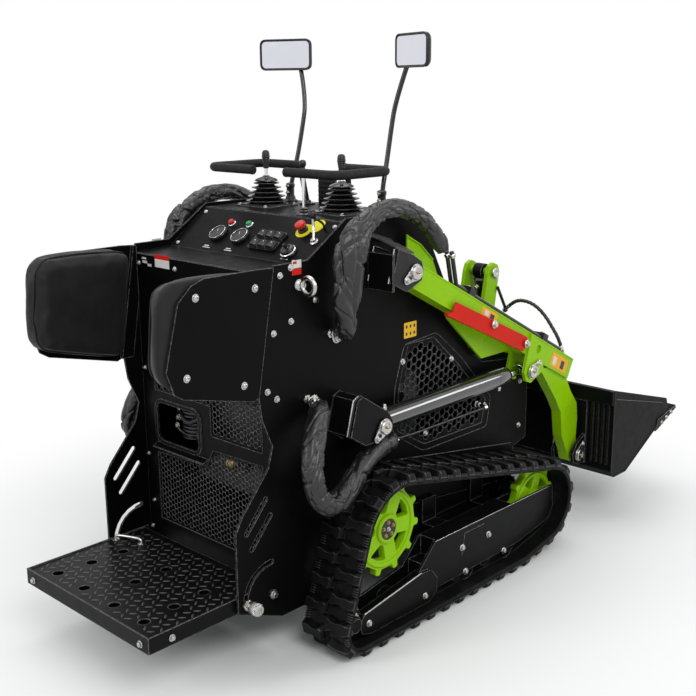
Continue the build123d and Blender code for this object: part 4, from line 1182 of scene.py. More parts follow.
def panel_box(kit, x, y, size, heights, slot):
    """A small box on the panel: size is (along the slope, across), heights (low, high)."""
    a, b = size[0] / 2, size[1] / 2
    outline = rounded(oblong(-a, a, -b, b), min(a, b) * 0.3, 3)
    at = on_panel(x, y, heights[0])
    kit.prism(outline, lambda p, q: at + PANEL_ALONG * p + Vector((0, q, 0)),
              PANEL_UP * (heights[1] - heights[0]), slot)


def gauge(kit, x, y):
    """A round gauge: its case, rims, dial with eleven marks, and needle."""
    at = on_panel(x, y, 0)
    kit.lathe(at, PANEL_UP, ((32, 0), (32.5, 5), (32, 9), (30.5, 11), (28.5, 11)), 48, slot=1)
    kit.lathe(at, PANEL_UP, ((30.6, 10), (30.4, 12.4), (28.6, 13.6), (27, 13.2), (26.2, 10.4)), 48, slot=1,
              ring=True)
    kit.lathe(at, PANEL_UP, ((28.2, 12.9), (28.4, 13.9), (27.6, 14.2), (27.2, 13.2)), 48, slot=2, ring=True)
    kit.lathe(at, PANEL_UP, ((27, 9), (26, 10.2), (0.5, 10.3)), 48, slot=3)
    for k in range(11):
        a = math.radians(225 - 27 * k)
        inner, outer = (19 if k % 5 == 0 else 21), 24
        way = PANEL_ALONG * math.sin(a) + Vector((0, -math.cos(a), 0))
        side = PANEL_UP.cross(way)
        kit.prism(oblong(inner, outer, -0.6, 0.6), lambda r, s: at + way * r + side * s + PANEL_UP * 10.3,
                  PANEL_UP * 0.5, 4)
    needle = (PANEL_ALONG + Vector((0, 0.7, 0))).normalized()
    kit.tube((at + needle * -4 + PANEL_UP * 11.3, at + needle * 20 + PANEL_UP * 11.3), (1.1, 0.5), 6, slot=4)
    kit.lathe(at, PANEL_UP, ((3.4, 10), (3.4, 12), (2, 12.6)), 16, slot=0)


def rocker(kit, x, y):
    """A rocker switch: a glossy dished cap in its own rim."""
    panel_box(kit, x, y, (31, 33), (8, 12), 0)
    at = on_panel(x, y, 12)
    rows = []
    for t, lift in ((-13, 7), (-8, 3.6), (0, 1.6), (8, 3.0), (13, 5)):
        row = []
        for q, drop in ((-12.5, 2.2), (-10, 0), (10, 0), (12.5, 2.2)):
            row.append(at + PANEL_ALONG * t + Vector((0, q, 0)) + PANEL_UP * (lift - drop))
        row += [at + PANEL_ALONG * t + Vector((0, q, 0)) - PANEL_UP * 1 for q in (12.5, -12.5)]
        rows.append(row)
    loft(kit, rows, 6, 1)
    kit.lathe(at + PANEL_ALONG * 7, PANEL_UP, ((2.2, 0), (2.2, 3.6), (1.4, 4.1)), 12, slot=4)


GAUGES = ((-125, 140), (-125, 37))
ROCKERS = [(x, y) for x in (-142, -110) for y in (-124, -88, -52)]
KEY_SWITCH = (-151, -205)
LAMP_RING = ((13, 0), (13, 3), (11.5, 4.5))
# Turned parts on the panel: (x, y), height, material's slot, sides, profile
PANEL_TURNED = (((-83, 124), 0, 2, 28, LAMP_RING),
                ((-83, 124), 0, 5, 28, ((10.5, 4), (10.5, 9), (9, 13), (5.5, 15.5), (1, 16.3))),
                ((-80, 45), 0, 2, 28, LAMP_RING),
                ((-80, 45), 0, 6, 6, ((10.5, 4), (10.5, 8), (9, 11.5), (6, 13), (1, 13.4))),
                (KEY_SWITCH, 0, 1, 40, ((27, 0), (27, 4), (24, 9), (20, 10))),
                (KEY_SWITCH, 0, 1, 36, ((21.5, 6), (21.5, 14), (19, 18), (13, 19), (11, 16), (2, 15.5))),
                ((-57, -226), 0, 7, 40, ((27, 0), (27, 1.6), (26, 2.2), (18, 2.3))),
                ((-78, -192), 0, 7, 40, ((27, 0), (27, 2.6), (26, 3.4), (18, 3.5))),
                ((-78, -192), 3, 0, 32, ((16, 0), (16, 7), (12, 9), (12, 16))),
                ((-78, -192), 3, 5, 36, ((11.5, 13), (15, 16), (17.4, 20), (17.4, 24), (15.6, 28), (11, 30.5),
                                         (4, 31.4))), ((-108, -266), 0, 9, 24,
                                                       ((13, 0), (13, 4), (9, 7), (8, 12), (5, 13))),)
# Flat parts on the panel: (x, y), (along the slope, across), (low, high), material's slot
PANEL_FLAT = (
    ((-166, 152), (4, 22), (0.1, 0.6), 4), ((-172, 148), (3, 34), (0.1, 0.6), 4),
    ((-166, 49), (4, 22), (0.1, 0.6), 4), ((-172, 45), (3, 34), (0.1, 0.6), 4),
    ((-172, -205), (3, 30), (0.1, 0.6), 4), ((-172, -256), (3, 30), (0.1, 0.6), 4),
    ((-126, -88), (78, 118), (0, 8), 1), (KEY_SWITCH, (3, 15), (12, 22), 9),
)
LEVER_FOOT = (-5, -118, DECK_TOP)
BELLOWS = ((24, 0), (24, 4), (20, 6), (15, 10), (17, 13), (12, 17), (13, 20), (8, 24))
LEVER_KNOB = ((7, 0), (8, 4), (6.5, 8), (10, 14), (11, 22), (8, 29), (3, 31))
THROTTLE_KNOB = ((5, 0), (10, 4), (12.5, 11), (12, 18), (8, 24), (3, 26))


def controls():
    """Gauges, lamps, rocker switches, key switch, stop button, throttle and lever of the console."""
    kit = Kit("plastic", "black_gloss", "chrome", "dial", "white_label", "red_plastic", "green_plastic",
              "lemon_paint", "control_rubber", "zinc")
    for x, y in GAUGES:
        gauge(kit, x, y)
    for x, y in ROCKERS:
        rocker(kit, x, y)
    for (x, y), height, slot, count, profile in PANEL_TURNED:
        kit.lathe(on_panel(x, y, height), PANEL_UP, profile, count, slot)
    for (x, y), size, heights, slot in PANEL_FLAT:
        panel_box(kit, x, y, size, heights, slot)
    rim = ((24.6, 7.6), (24.8, 9.2), (22, 10.8), (21, 9))
    kit.lathe(on_panel(*KEY_SWITCH, 0), PANEL_UP, rim, 40, slot=2, ring=True)
    at = on_panel(*KEY_SWITCH, 20)
    kit.tube([at + PANEL_UP * t + PANEL_ALONG * s for t, s in ((0, 0), (9, 0), (15, -2))], (4, 6.5, 5), 10,
             slot=0)
    throttle = smooth_line([on_panel(-108, -266, 8), (-106, -262, 1212), (-98, -252, 1240),
                            (-101, -251, 1262)], 3)
    kit.tube(throttle, 4.2, 14, slot=9)
    kit.lathe((-101, -251, 1256), UP, THROTTLE_KNOB, 24, slot=0)
    cable = smooth_line([(-64, -262, 1222), (-70, -268, 1238), (-84, -262, 1250), (-96, -256, 1256)], 3)
    kit.tube(cable, 3.4, 10, slot=0)
    x, y, z = LEVER_FOOT
    kit.lathe((x, y, z + 0.4), UP, BELLOWS, 28, slot=8)
    kit.tube(((x, y, z + 18), (x - 1, y, z + 80), (x - 3, y, z + 140)), 5.2, 16, slot=2)
    kit.lathe((x - 3, y, z + 134), UP, LEVER_KNOB, 24, slot=0)
    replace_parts(kit.build("panel_controls", "chassis", bevel=0.5), "console_controls")


JOYSTICK_AT = (104, 170)
GRIP = ((7, 120), (9, 121), (10, 126), (9, 134), (10.4, 144), (12, 152), (12.6, 162), (12, 170), (9, 176),
        (4, 178.4))


def joystick(name, sign):
    """A lever: square plate with four bolts, bellows, bright shaft and a shaped grip."""
    x, y = JOYSTICK_AT[0], JOYSTICK_AT[1] * sign
    foot = (x, y, DECK_TOP)
    kit = Kit("control_rubber", "black_steel", "chrome", "plastic", "zinc")
    for half, corner, low, slot in ((74, 10, 0.3, 1), (66, 16, 4, 0)):
        square = rounded(oblong(-half, half, -half, half), corner, 4)
        kit.prism(square, lambda a, b: (x + a, y + b, DECK_TOP + low), (0, 0, 4), slot)
    for a in (-62, 62):
        for b in (-62, 62):
            bolt(kit, (x + a, y + b, DECK_TOP + 4.2), UP, 5.4, "hex", 4)
    profile = [(66, 6), (66, 9)]
    for i in range(5):
        r, z = 68 - 6.4 * i, 12 + 14 * i
        profile += [(r - 17, z), (r - 6, z + 3), (r - 1, z + 4.2), (r, z + 5.6), (r - 1, z + 7),
                    (r - 7, z + 8), (r - 19, z + 10.5), (r - 21, z + 12)]
    profile += [(38, 80), (37, 84), (30, 88), (18, 92), (12, 94), (10, 97), (7, 98)]
    kit.lathe(foot, UP, profile, 56)
    kit.lathe(foot, UP, ((9, 92), (9, 97), (6.2, 98), (6.2, 124)), 24, slot=2)
    kit.lathe(foot, UP, GRIP, 32, slot=3)
    for k in range(4):
        ridge = [(r + k, h) for r, h in ((9.6, 0), (10.8, 1.2), (10.8, 2.4), (9.8, 3.6))]
        kit.lathe((x, y, DECK_TOP + 138 + 6 * k), UP, ridge, 28, slot=0)
    made = kit.build(f"joystick_lever_{name}", "chassis", bevel=0.5, angle=50)
    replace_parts(made, f"joystick_{name}")


MIRROR_TURN = math.radians(20)
MIRROR_AT = (300, 277, 1727)
MIRROR_FOOT = (245, 207)
MIRROR_STEM = ((*MIRROR_FOOT, DECK_TOP + 4), (*MIRROR_FOOT, DECK_TOP + 52), (273, 201, 1383),
               (302, 198, 1510), (315, 200, 1568), (330, 232, 1680), (331, 246, 1706))
CLAMP = ((24, 0), (24, 4), (18, 7), (16, 16), (13, 20), (13, 46), (15, 49), (15, 58), (10, 62))
# A housing's rows: how far behind the glass, how much smaller, and the corners' radius
HOUSING = ((0.1, 0.6, 21), (1.5, 0, 21), (8, 0.4, 21), (15, 5, 22), (20, 14, 24), (23.4, 30, 22))


def mirror(name, sign):
    """A mirror's bent stem, clamp and housing; its glass stays the model's own."""
    kit = Kit("plastic", "black_gloss", "zinc")
    line = smooth_line([(x, y * sign, z) for x, y, z in MIRROR_STEM], 8)
    kit.tube(line, 7.6, 18, slot=1)
    x, y = MIRROR_FOOT[0], MIRROR_FOOT[1] * sign
    kit.lathe((x, y, DECK_TOP + 0.3), UP, CLAMP, 32)
    for z in (DECK_TOP + 30, DECK_TOP + 52):
        bolt(kit, (x - 13, y, z), BACKWARD, 5, "hex", 2)
    facing = Vector((-math.cos(MIRROR_TURN), -math.sin(MIRROR_TURN) * sign, 0))
    side = Vector((math.sin(MIRROR_TURN) * sign, -math.cos(MIRROR_TURN), 0)) * sign
    middle = Vector((MIRROR_AT[0], MIRROR_AT[1] * sign, MIRROR_AT[2]))
    rows = []
    for back, shrink, corner in HOUSING:
        a, b = 95 - shrink, 50 - shrink * 0.8
        outline = rounded(oblong(-a, a, -b, b), corner, 5)
        rows.append([middle - facing * back + side * p + Vector((0, 0, q)) for p, q in outline])
    loft(kit, rows, len(rows[0]))
    rim = rounded(oblong(-93.5, 93.5, -48.5, 48.5), 20, 6)
    kit.tube([middle + facing * 2.4 + side * p + Vector((0, 0, q)) for p, q in rim], 2.6, 8, closed=True)
    kit.lathe(middle - facing * 26 + side * 30, facing, ((9, -8), (12, -6), (12, 8), (16, 12)), 24)
    made = kit.build(f"mirror_body_{name}", "chassis", bevel=0.4, angle=40)
    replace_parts(made, f"mirror_arm_{name}")


def bar_ends():
    """Caps and flanges of the two hand bars."""
    kit = Kit("foam", "black_gloss", "zinc")
    z = DECK_TOP + 128
    for sign in (1, -1):
        inward = (0, -sign, 0)
        kit.lathe((-36, 75 * sign, z), inward, ((14.2, -6), (14.8, -1), (14.4, 1.6), (12, 3.2), (5, 3.6)), 28)
        kit.lathe((196, 98 * sign, z), inward, ((14.2, -4), (14.8, 0), (14.2, 2.4), (10, 3)), 28)
        flange = ((26, 0), (26, 5), (14, 7), (12, 12), (10.4, 14))
        kit.lathe((218, 98 * sign, DECK_TOP + 0.3), UP, flange, 32, 1)
        for k in range(3):
            spot = polar(19, 120 * k + 30, (218, 98 * sign))
            bolt(kit, (*spot, DECK_TOP + 5.2), UP, 3.6, "hex", 2)
    kit.build("hand_bar_ends", "chassis", bevel=0.4)


# Pins: silver heads with teardrop keepers, as (x, z, face's y, keeper's way, body, name)

PIN_HEADS = ((*BOOM_PIN, 423.2, 205, "chassis", "boom_pin"),
             (*LIFT_BASE, 423.2, 220, "chassis", "lift_base_pin"),
             (*LIFT_PIN, 415.2, 30, "boom", "lift_rod_pin"), (*BUCKET_PIN, 421.2, 55, "bucket", "bucket_pin"))
PIN_PROFILE = ((22.6, 0), (22.6, 6), (20.5, 8.4), (13, 8.6), (12, 6.4), (4.6, 6.2))
NIPPLE = ((4.4, 0), (4.4, 3), (2.8, 4), (3.2, 6.5), (1.6, 8.4))


def pin_heads():
    for x, z, y, way, body, label in PIN_HEADS:
        for name, sign in SIDES:
            kit = Kit("zinc", "brass")
            outline = [polar(26, a) for a in range(50, 311, 10)]
            outline += [polar(13, a, (45, 0)) for a in range(-60, 61, 12)]
            kit.plate(spun(outline, (x, z), way), sign * y, sign * (y + 2.4))
            out = (0, sign, 0)
            kit.lathe((x, sign * (y + 2), z), out, PIN_PROFILE, 36)
            kit.lathe((x, sign * (y + 8), z), out, NIPPLE, 14, 1)
            spot = spun([(45, 0)], (x, z), way)[0]
            bolt(kit, (spot[0], sign * (y + 2.4), spot[1]), out, 7, "hex")
            kit.build(f"{label}_{name}", body, bevel=0.5)


# Weld beads along joints, and the folded edges that catch the light; bright metal beads beside some welds and
# a bright line along the frame's top edge are painted highlights

def weld(kit, path, radius=3.0, slot=0):
    """A rippled bead along a line of points."""
    points = []
    radii = []
    for a, b in zip(path, path[1:]):
        a, b = Vector(a), Vector(b)
        count = max(2, int((b - a).length / 2.4))
        for i in range(count):
            points.append(a + (b - a) * i / count)
    points.append(Vector(path[-1]))
    for i in range(len(points)):
        radii.append(radius * (0.82 + 0.2 * abs(math.sin(i * 0.85)) + 0.08 * noise.noise(points[i] * 0.2)))
    kit.tube(points, radii, 8, slot)


BOOM_MOUNT_RIM = ((58, 1064), (84, 1164), (150, 1140))
LIFT_MOUNT_RIM = ((-60, 600), (-120, 640), (-92, 742), (-70, 752), (-30, 720))
ACCESS_RIM = ((224, 838), (383, 850), (516, 742), (690, 566), (668, 462), (322, 462), (172, 556), (180, 706))
FOLD_LINE = ((112, 478), (822, 362))
MOUNT_COVER = ((60, 358, 1190), (72, 418, 1167), (152, 418, 1142), (152, 358, 1162))
MOUNT_SHELF = ((46, 321, 1208), (50, 335, 1197), (160, 335, 1160), (160, 321, 1171))
HOOD_LIP = ((560, 768), (600, 748), (650, 738), (716, 728), (800, 702), (829, 684), (829, 676), (634, 699),
            (560, 757))


def body_edges():
    for name, sign in SIDES:
        kit = Kit("black_gloss", "black_panel", "bright_weld", "zinc", "cover_steel")
        for rim in (BOOM_MOUNT_RIM, LIFT_MOUNT_RIM):
            weld(kit, at_side(rim, sign * 407), 3.4)
            weld(kit, at_side(rim, sign * (BODY_Y + 1)), 3.6)
        # bright metal beads beside the welds: painted glints
        for rim in (BOOM_MOUNT_RIM[:2], LIFT_MOUNT_RIM[1:4]):
            weld(kit, [(x - 3, sign * 403, z) for x, z in rim], 2.6, 2)
        weld(kit, [(x - 3, sign * (BODY_Y + 3), z) for x, z in BOOM_MOUNT_RIM[:2]], 2.2, 2)
        weld(kit, at_side(((200, 228), (120, 150)), sign * (FRAME_Y + 1)), 3.2)
        # a bright bead along the arm plate's weld: painted glints
        weld(kit, at_side(((120, 152), (-140, 112)), sign * (ARM_PLATE_Y - 2)), 3.2, 2)
        weld(kit, at_side(((165, 148), (196, 110), (192, 62)), sign * ARM_PLATE_Y), 3.0)
        for sheet in (MOUNT_COVER, MOUNT_SHELF):
            corners = [(sheet[i], i) for i in range(4)]
            kit.prism(corners, lambda spot, _: (spot[0], sign * spot[1], spot[2]), (0, 0, 6), 4)
        kit.plate(oblong(150, 770, 180, 216), sign * 314, sign * 319.6, 1)
        kit.plate(HOOD_LIP, sign * 314.5, sign * 319.5, 1)
        kit.plate(oblong(130, 846, 196, 201), sign * 322, sign * 399, 1)
        kit.plate(((-60, 330), (850, 226), (850, 222), (-60, 214)), sign * 321, sign * 324, 1)
        hub = (REAR_IDLER[0], sign * 468, REAR_IDLER[1])
        kit.lathe(hub, (0, sign, 0), ((46, -40), (48, -38), (48, -6), (44, -4)), 48, 0)
        kit.lathe(hub, (0, sign, 0), ((33, -6), (34, 5), (31, 8), (26, 8), (24, 4), (24, -6)), 48, 3, True)
        kit.lathe(hub, (0, sign, 0), ((45, -6), (45.6, -3), (43.6, -2.4), (43, -6)), 48, 3, True)
        kit.lathe(hub, (0, sign, 0), ((14, -6), (14, 10), (11, 12)), 40, 0)
        line = at_side(rounded(ACCESS_RIM, 18, 3), sign * (BODY_Y + 0.6))
        kit.tube(line, 1.3, 8, 1, closed=True)
        kit.tube(at_side(FOLD_LINE, sign * (BODY_Y + 0.8)), 2.0, 8, 1)
        kit.tube(at_side(((457, 207), (354, 207), (339, 130)), sign * (FRAME_Y + 0.3)), 1.2, 8, 1)
        # a thin bright line along the frame's top edge: painted highlight
        kit.tube(at_side(((204, 227.6), (864, 227.6)), sign * (FRAME_Y - 0.4)), 1.2, 8, 2)
        for x in (150, 365, 585):
            arc = [polar(37, a, (x, FRONT_ROLLER[1])) for a in range(200, 341, 10)]
            kit.tube([(a, sign * (FRAME_Y + 0.6), max(b, 42)) for a, b in arc], 1.4, 8, 0)
        kit.build(f"body_edges_{name}", "chassis")


ARM_END = (1076, 606)
ARM_WAY = Vector((ARM_END[0] - BOOM_PIN[0], 0, ARM_END[1] - BOOM_PIN[1])).normalized()
ARM_UP = Vector((-ARM_WAY.z, 0, ARM_WAY.x))


def arm_frame(distance, height):
    """The (x, z) point along the arm from its pivot, and square to it."""
    spot = ARM_WAY * distance + ARM_UP * height
    return BOOM_PIN[0] + spot.x, BOOM_PIN[1] + spot.z


def arm_strip(kit, start, end, low, high, y0, y1, slot=0):
    corners = [arm_frame(a, h) for a, h in oblong(start, end, low, high)]
    kit.plate(corners, y0, y1, slot)


def arm_details():
    """Folded flanges, welds, labels, clamps and fittings on the boom."""
    for name, sign in SIDES:
        kit = Kit("green_paint", "plastic", "zinc", "orange_label", "black_gloss", "white_label")
        face = sign * ARM_OUT
        arm_strip(kit, 36, 700, -40.5, -34, face, face + sign * 2.2)
        arm_strip(kit, 44, 1036, 31, 36.4, face, face + sign * 1.6)
        for a, b in (((800, 787), (870, 735)), ((800, 787), (762, 655))):
            weld(kit, at_side((a, b), face), 2.6)
        weld(kit, at_side(((887, 640), (1002, 498)), sign * (ARM_OUT - 9)), 2.6)
        weld(kit, at_side(((206, 1180), (262, 1152), (322, 1098)), sign * (ARM_IN + 12)), 2.2)
        kit.tube(at_side(((206, 1088), (206, 1187), (265, 1152), (325, 1098), (360, 1020)), sign * 345),
                 2.2, 8)
        corners = [arm_frame(a, h) for a, h in ((402, -4), (496, -2), (496, 29), (402, 28))]
        kit.plate(rounded(corners, 3, 2), face, face + sign * 0.7, 3)
        corners = [arm_frame(a, h) for a, h in oblong(892, 1010, -30, 20)]
        kit.plate(rounded(corners, 3, 2), face, face + sign * 0.7, 3)
        for start, low in ((420, 4), (455, 2), (905, -22), (962, -22)):
            arm_strip(kit, start, start + 24, low, low + 18 if start < 600 else low + 30, face + sign * 0.7,
                      face + sign * 1.1, 4 if start in (455, 962) else 5)
        for distance in (330, 820):
            clamp(kit, distance, sign)
        for shift in (0, 20):
            y = sign * (ARM_Y - 4 + shift)
            x, z = arm_frame(970, 45)
            kit.lathe((x, y, z), ARM_WAY, ((8.5, -22), (10.5, -20), (10.5, -8), (8.6, -6), (8.6, 0), (5, 3)),
                      6, 2)
            x, z = arm_frame(180, 124)
            start = Vector((x, y, z))
            kit.lathe(start, (0.5, 0, -0.86), ((9, 0), (11, 2), (11, 12), (8, 14)), 6, 2)
        kit.build(f"arm_details_{name}", "boom", bevel=0.6, angle=40)
    kit = Kit("zinc", "plastic", "black_gloss")
    for x, z in ((560, 862), (752, 762)):
        bolt(kit, (x, -ARM_OUT - 22.2, z), (0, -1, 0), 9.5, "hex")
    for sign in (1, -1):
        kit.lathe((1050, sign * 66, 929), (0, sign, 0),
                  ((19, 0), (19, 3), (16.5, 6), (9, 6.4), (7, 4.6), (3, 4.4)), 36)
        bolt(kit, (1068, sign * 60.4, 905), (0, sign, 0), 6, "hex")
    kit.lathe((1128, -66, 775), (-0.321, -0.749, 0.578), ((11, -10), (11, 2), (9, 4), (9, 9)), 6)
    kit.lathe((1084, -354, 666), (0, 0, -1), ((11, 0), (11, 12), (8.6, 14), (8.6, 20)), 6)
    kit.build("boom_hardware", "boom", bevel=0.5)


def clamp(kit, distance, sign):
    """A two-part pipe clamp with its screw."""
    low, high = ARM_Y - 20, ARM_Y + 28
    arm_strip(kit, distance - 16, distance + 16, 34, 46, sign * low, sign * high, 1)
    arm_strip(kit, distance - 15, distance + 15, 47, 61, sign * low, sign * high, 1)
    arm_strip(kit, distance - 16, distance + 16, 61, 64, sign * (low + 2), sign * (high - 2), 4)
    x, z = arm_frame(distance, 64)
    bolt(kit, (x, sign * (ARM_Y + 6), z), ARM_UP, 5.5, "hex", 2)


# Cylinders: barrels with their glands, ports and weld rings

def cylinder(name, base, pin, y, radius, end, body, node, base_port=-1):
    kit = Kit("cylinder_black", "black_steel", "zinc")
    start = Vector((base[0], y, base[1]))
    way = (Vector((pin[0], y, pin[1])) - start).normalized()
    kit.lathe(start, way, ((radius - 5, 24), (radius, 30), (radius, end - 66), (radius - 0.8, end - 65),
                           (radius - 0.8, end - 62), (radius, end - 61), (radius, end - 6),
                           (radius - 2, end - 1), (radius - 9, end), (radius - 12, end - 3)), 64)
    kit.lathe(start, way, ((radius - 6, end - 1), (radius - 7, end + 14), (radius - 9, end + 16),
                           (18, end + 16)), 40, 1)
    weld_ring = [start + way * 31 + turn for turn in circle(*across(way)[:2], radius - 0.5, 60)]
    kit.tube(weld_ring, 2.4, 8, 0, closed=True)
    kit.lathe(start - Vector((0, 21.5, 0)), (0, 1, 0), ((24, 0), (29.5, 1.6), (29.5, 41.4), (24, 43)), 40, 1)
    u = way.cross(Vector((0, 1, 0))).normalized()
    if u.z < 0:
        u = -u
    for run, lift in ((56, base_port), (end - 30, -1)):
        at = start + way * run + u * lift * (radius - 3)
        kit.lathe(at, u * lift, ((10, 0), (10, 8), (8, 9), (8, 16), (6, 18)), 6, 2)
    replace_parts(kit.build(name, body, bevel=0.5, angle=30), node)


def rod_eyes():
    """Bushings and nipples on the rods' eyes."""
    for name, sign in SIDES:
        kit = Kit("black_gloss", "zinc")
        for out in (1, -1):
            kit.lathe((LIFT_PIN[0], sign * ARM_Y + out * 20.5, LIFT_PIN[1]), (0, out, 0),
                      ((23.5, 0), (24.6, 0.6), (23.6, 2)), 32)
        kit.lathe((791, sign * ARM_Y, 650.6), (-0.98, 0, -0.19), ((16, 0), (21, 6), (21, 18), (15.6, 24)), 32)
        kit.build(f"lift_rod_eye_{name}", f"lift_rod_{name}", bevel=0.4)


# Body fittings: lifting eyes, hose ends, latch and hard lines

def body_fittings():
    for name, sign in SIDES:
        kit = Kit("zinc", "black_steel", "brass")
        eye = Vector((-224, sign * 358, 1090))
        kit.tube([eye + p for p in circle(*across((1, 0, 0))[:2], 24, 48)], 7.2, 18, closed=True)
        kit.lathe((-224, sign * (BODY_Y + 0.4), 1090), (0, sign, 0),
                  ((17.5, 0), (18, 2), (16, 6), (12, 8), (9.5, 12), (10.5, 18)), 32)
        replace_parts(kit.build(f"lifting_ring_{name}", "chassis", bevel=0.4), "lifting_eyes")
        kit = Kit("zinc", "black_steel", "brass")
        for x, y, z in ((-78, 354, 918), (-176, 354, 742)):
            at = Vector((x, sign * BODY_Y, z))
            out = Vector((0, sign, 0))
            kit.lathe(at, out, ((20, 0.3), (20, 4), (17, 5)), 32)
            kit.lathe(at, out, ((17, 4), (17.6, 6), (17.6, 12), (15, 14)), 6)
            kit.lathe(at, out, ((11.6, 13), (11.6, 17), (10, 18), (11.6, 19), (11.6, 22), (9, 24), (9, 34)),
                      24)
            kit.lathe(at + Vector((-28, 0, 14)), out, ((14, 0.3), (14, 7), (9, 8), (9, 17), (6, 18), (6, 27)),
                      6)
            kit.lathe(at + Vector((2, sign * 20, -4)), (0.4, 0.3 * sign, 0.6),
                      ((11, 0), (13.4, 2), (13.4, 13), (11, 15)), 6)
        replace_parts(kit.build(f"hose_ends_{name}", "chassis", bevel=0.4), "hose_fittings")
        kit = Kit("black_gloss", "zinc")
        kit.tube(smooth_line([(104, sign * 366, 563), (170, sign * 372, 560), (300, sign * 372, 560),
                              (520, sign * 372, 560), (596, sign * 372, 560), (606, sign * 360, 558),
                              (606, sign * 324, 558)], 8), 4.4, 12)
        for x in (128, 588):
            kit.lathe((x, sign * 372, 560), (1, 0, 0), ((6, -8), (8, -7), (8, 7), (6, 8)), 6, 1)
        kit.lathe((606, sign * BODY_Y, 558), (0, sign, 0), ((12, 0.3), (12, 4), (9, 5), (9, 16), (6, 18)), 6,
                  1)
        kit.build(f"hard_line_{name}", "chassis", bevel=0.3)


def latch():
    """The spring plunger with its knurled knob, the grab loop and the plate under the tread."""
    kit = Kit("zinc", "black_steel", "chrome")
    at = Vector((-452, 0, 207))
    out = Vector((0, -1, 0))
    kit.lathe(at, out, ((6, 306), (6, 362), (5, 364)), 20, 2)
    kit.lathe(at, out, ((14, 321), (17, 322), (17, 332), (13, 334), (13, 342), (10, 344)), 6)
    for rib in circle(Vector((1, 0, 0)), Vector((0, 0, 1)), 17.2, 28):
        kit.lathe(at + out * 352 + rib, out, ((1.2, -1), (1.7, 0), (1.7, 22), (1.2, 23)), 6)
    kit.lathe(at, out, ((13, 346), (17.4, 348), (17.4, 378), (14, 380), (8, 380), (7, 376)), 36)
    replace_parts(kit.build("latch_plunger", "platform", bevel=0.3), "platform_latch")
    kit = Kit("zinc", "black_steel")
    loop = smooth_line([(-470, 290, 223), (-472, 289, 236), (-466, 276, 240), (-440, 214, 240),
                        (-434, 202, 236), (-434, 201, 223)], 6)
    kit.tube(loop, 5, 14)
    for p in (loop[0], loop[-1]):
        kit.lathe((p.x, p.y, 222.4), UP, ((13, 0), (13, 3), (8, 4.4)), 24)
    kit.build("grab_loop", "platform", bevel=0.3)
    kit = Kit("black_steel", "zinc", "black_gloss")
    kit.box((-768, -299, 206), (-384, 299, 209))
    for x in (-640, -520):
        kit.box((x, -298, 184), (x + 6, 298, 206))
    for sign in (1, -1):
        weld(kit, [(-771, sign * 303, 222), (-362, sign * 303, 222)], 2.0)
        bolt(kit, (-776.4, sign * 270, 198), (-1, 0, 0), 7, "hex", 1)
        bolt(kit, (-700, sign * 306.2, 199), (0, sign, 0), 7, "hex", 1)
    weld(kit, [(-771, -300, 222.4), (-771, 300, 222.4)], 2.0)
    kit.build("under_plate", "platform", bevel=0.5)


def engine_bits():
    """What shows through the rear window and grilles: a canister, fins, pipes and a brass coil."""
    kit = Kit("engine_metal", "plastic", "zinc", "brass", "black_gloss")
    for i in range(9):
        kit.lathe((-236, 150, 545 + 12 * i), UP, ((30, 0), (44, 1), (44, 5), (30, 6)), 28)
    kit.lathe((-236, 150, 540), UP, ((26, 0), (32, 4), (32, 112), (26, 120)), 28)
    kit.lathe((-250, 80, 560), (0, 1, 0), ((20, -30), (26, -26), (26, 22), (20, 26)), 32, 1)
    for k in range(3):
        bolt(kit, (-276 + 6 * k, 196, 580 + 26 * k), (-1, 0, 0), 7, "hex", 2)
    kit.tube(smooth_line([(-262, 60, 640), (-280, 90, 620), (-286, 130, 600), (-276, 180, 622),
                          (-240, 220, 640)], 6), 8, 14, 1)
    kit.tube(smooth_line([(-230, 230, 640), (-276, 214, 590), (-280, 170, 560), (-262, 130, 548)], 6), 5, 12,
             4)
    kit.box((-230, 40, 530), (-200, 240, 536), 0)
    coil = []
    for i in range(90):
        a = i * 0.42
        coil.append((-262 + 20 * math.cos(a), -70 - 8 + i * 0.36, 511 + 20 * math.sin(a)))
    kit.tube(coil, 3, 8, 3)
    kit.lathe((-250, -70, 511), (1, 0, 0), ((30, 0), (34, 6), (34, 30), (26, 34)), 32, 0)
    kit.build("engine_parts", "chassis", bevel=0.6)


def labels():
    """Blank colour plates where the photograph has stickers."""
    for name, sign in SIDES:
        kit = Kit("orange_label", "white_label", "red_paint", "plastic", "yellow_paint")
        y = sign * (BODY_Y + 0.3)
        kit.plate(rounded(oblong(223, 283, 856, 906), 3, 2), y, y + sign * 0.5, 4)
        for i in range(3):
            for j in range(2):
                x, z = 227 + 18.6 * i, 860 + 23 * j
                kit.plate(rounded(oblong(x + 4, x + 12, z + 4, z + 15), 4, 2),
                          y + sign * 0.5, y + sign * 0.8, 3)
        kit.plate(oblong(-250, -214, 1138, 1160), y, y + sign * 0.5, 1)
        kit.plate(oblong(-250, -214, 1119, 1137), y, y + sign * 0.5, 2)
        kit.plate(oblong(-246, -232, 1150, 1157), y + sign * 0.5, y + sign * 0.8, 2)
        kit.build(f"side_labels_{name}", "chassis")
    kit = Kit("white_label", "red_paint", "plastic")
    x = REAR_X - 0.3
    for (y0, y1, z0, z1), slot in (((146, 218, 1092, 1117), 0), ((146, 218, 1117, 1131), 1),
                                   ((262, 284, 1110, 1116), 0), ((258, 282, 1098, 1106), 0),
                                   ((236, 256, 1090, 1098), 0)):
        kit.box((x - 0.5, y0, z0), (x, y1, z1), slot)
    kit.build("rear_labels", "chassis")


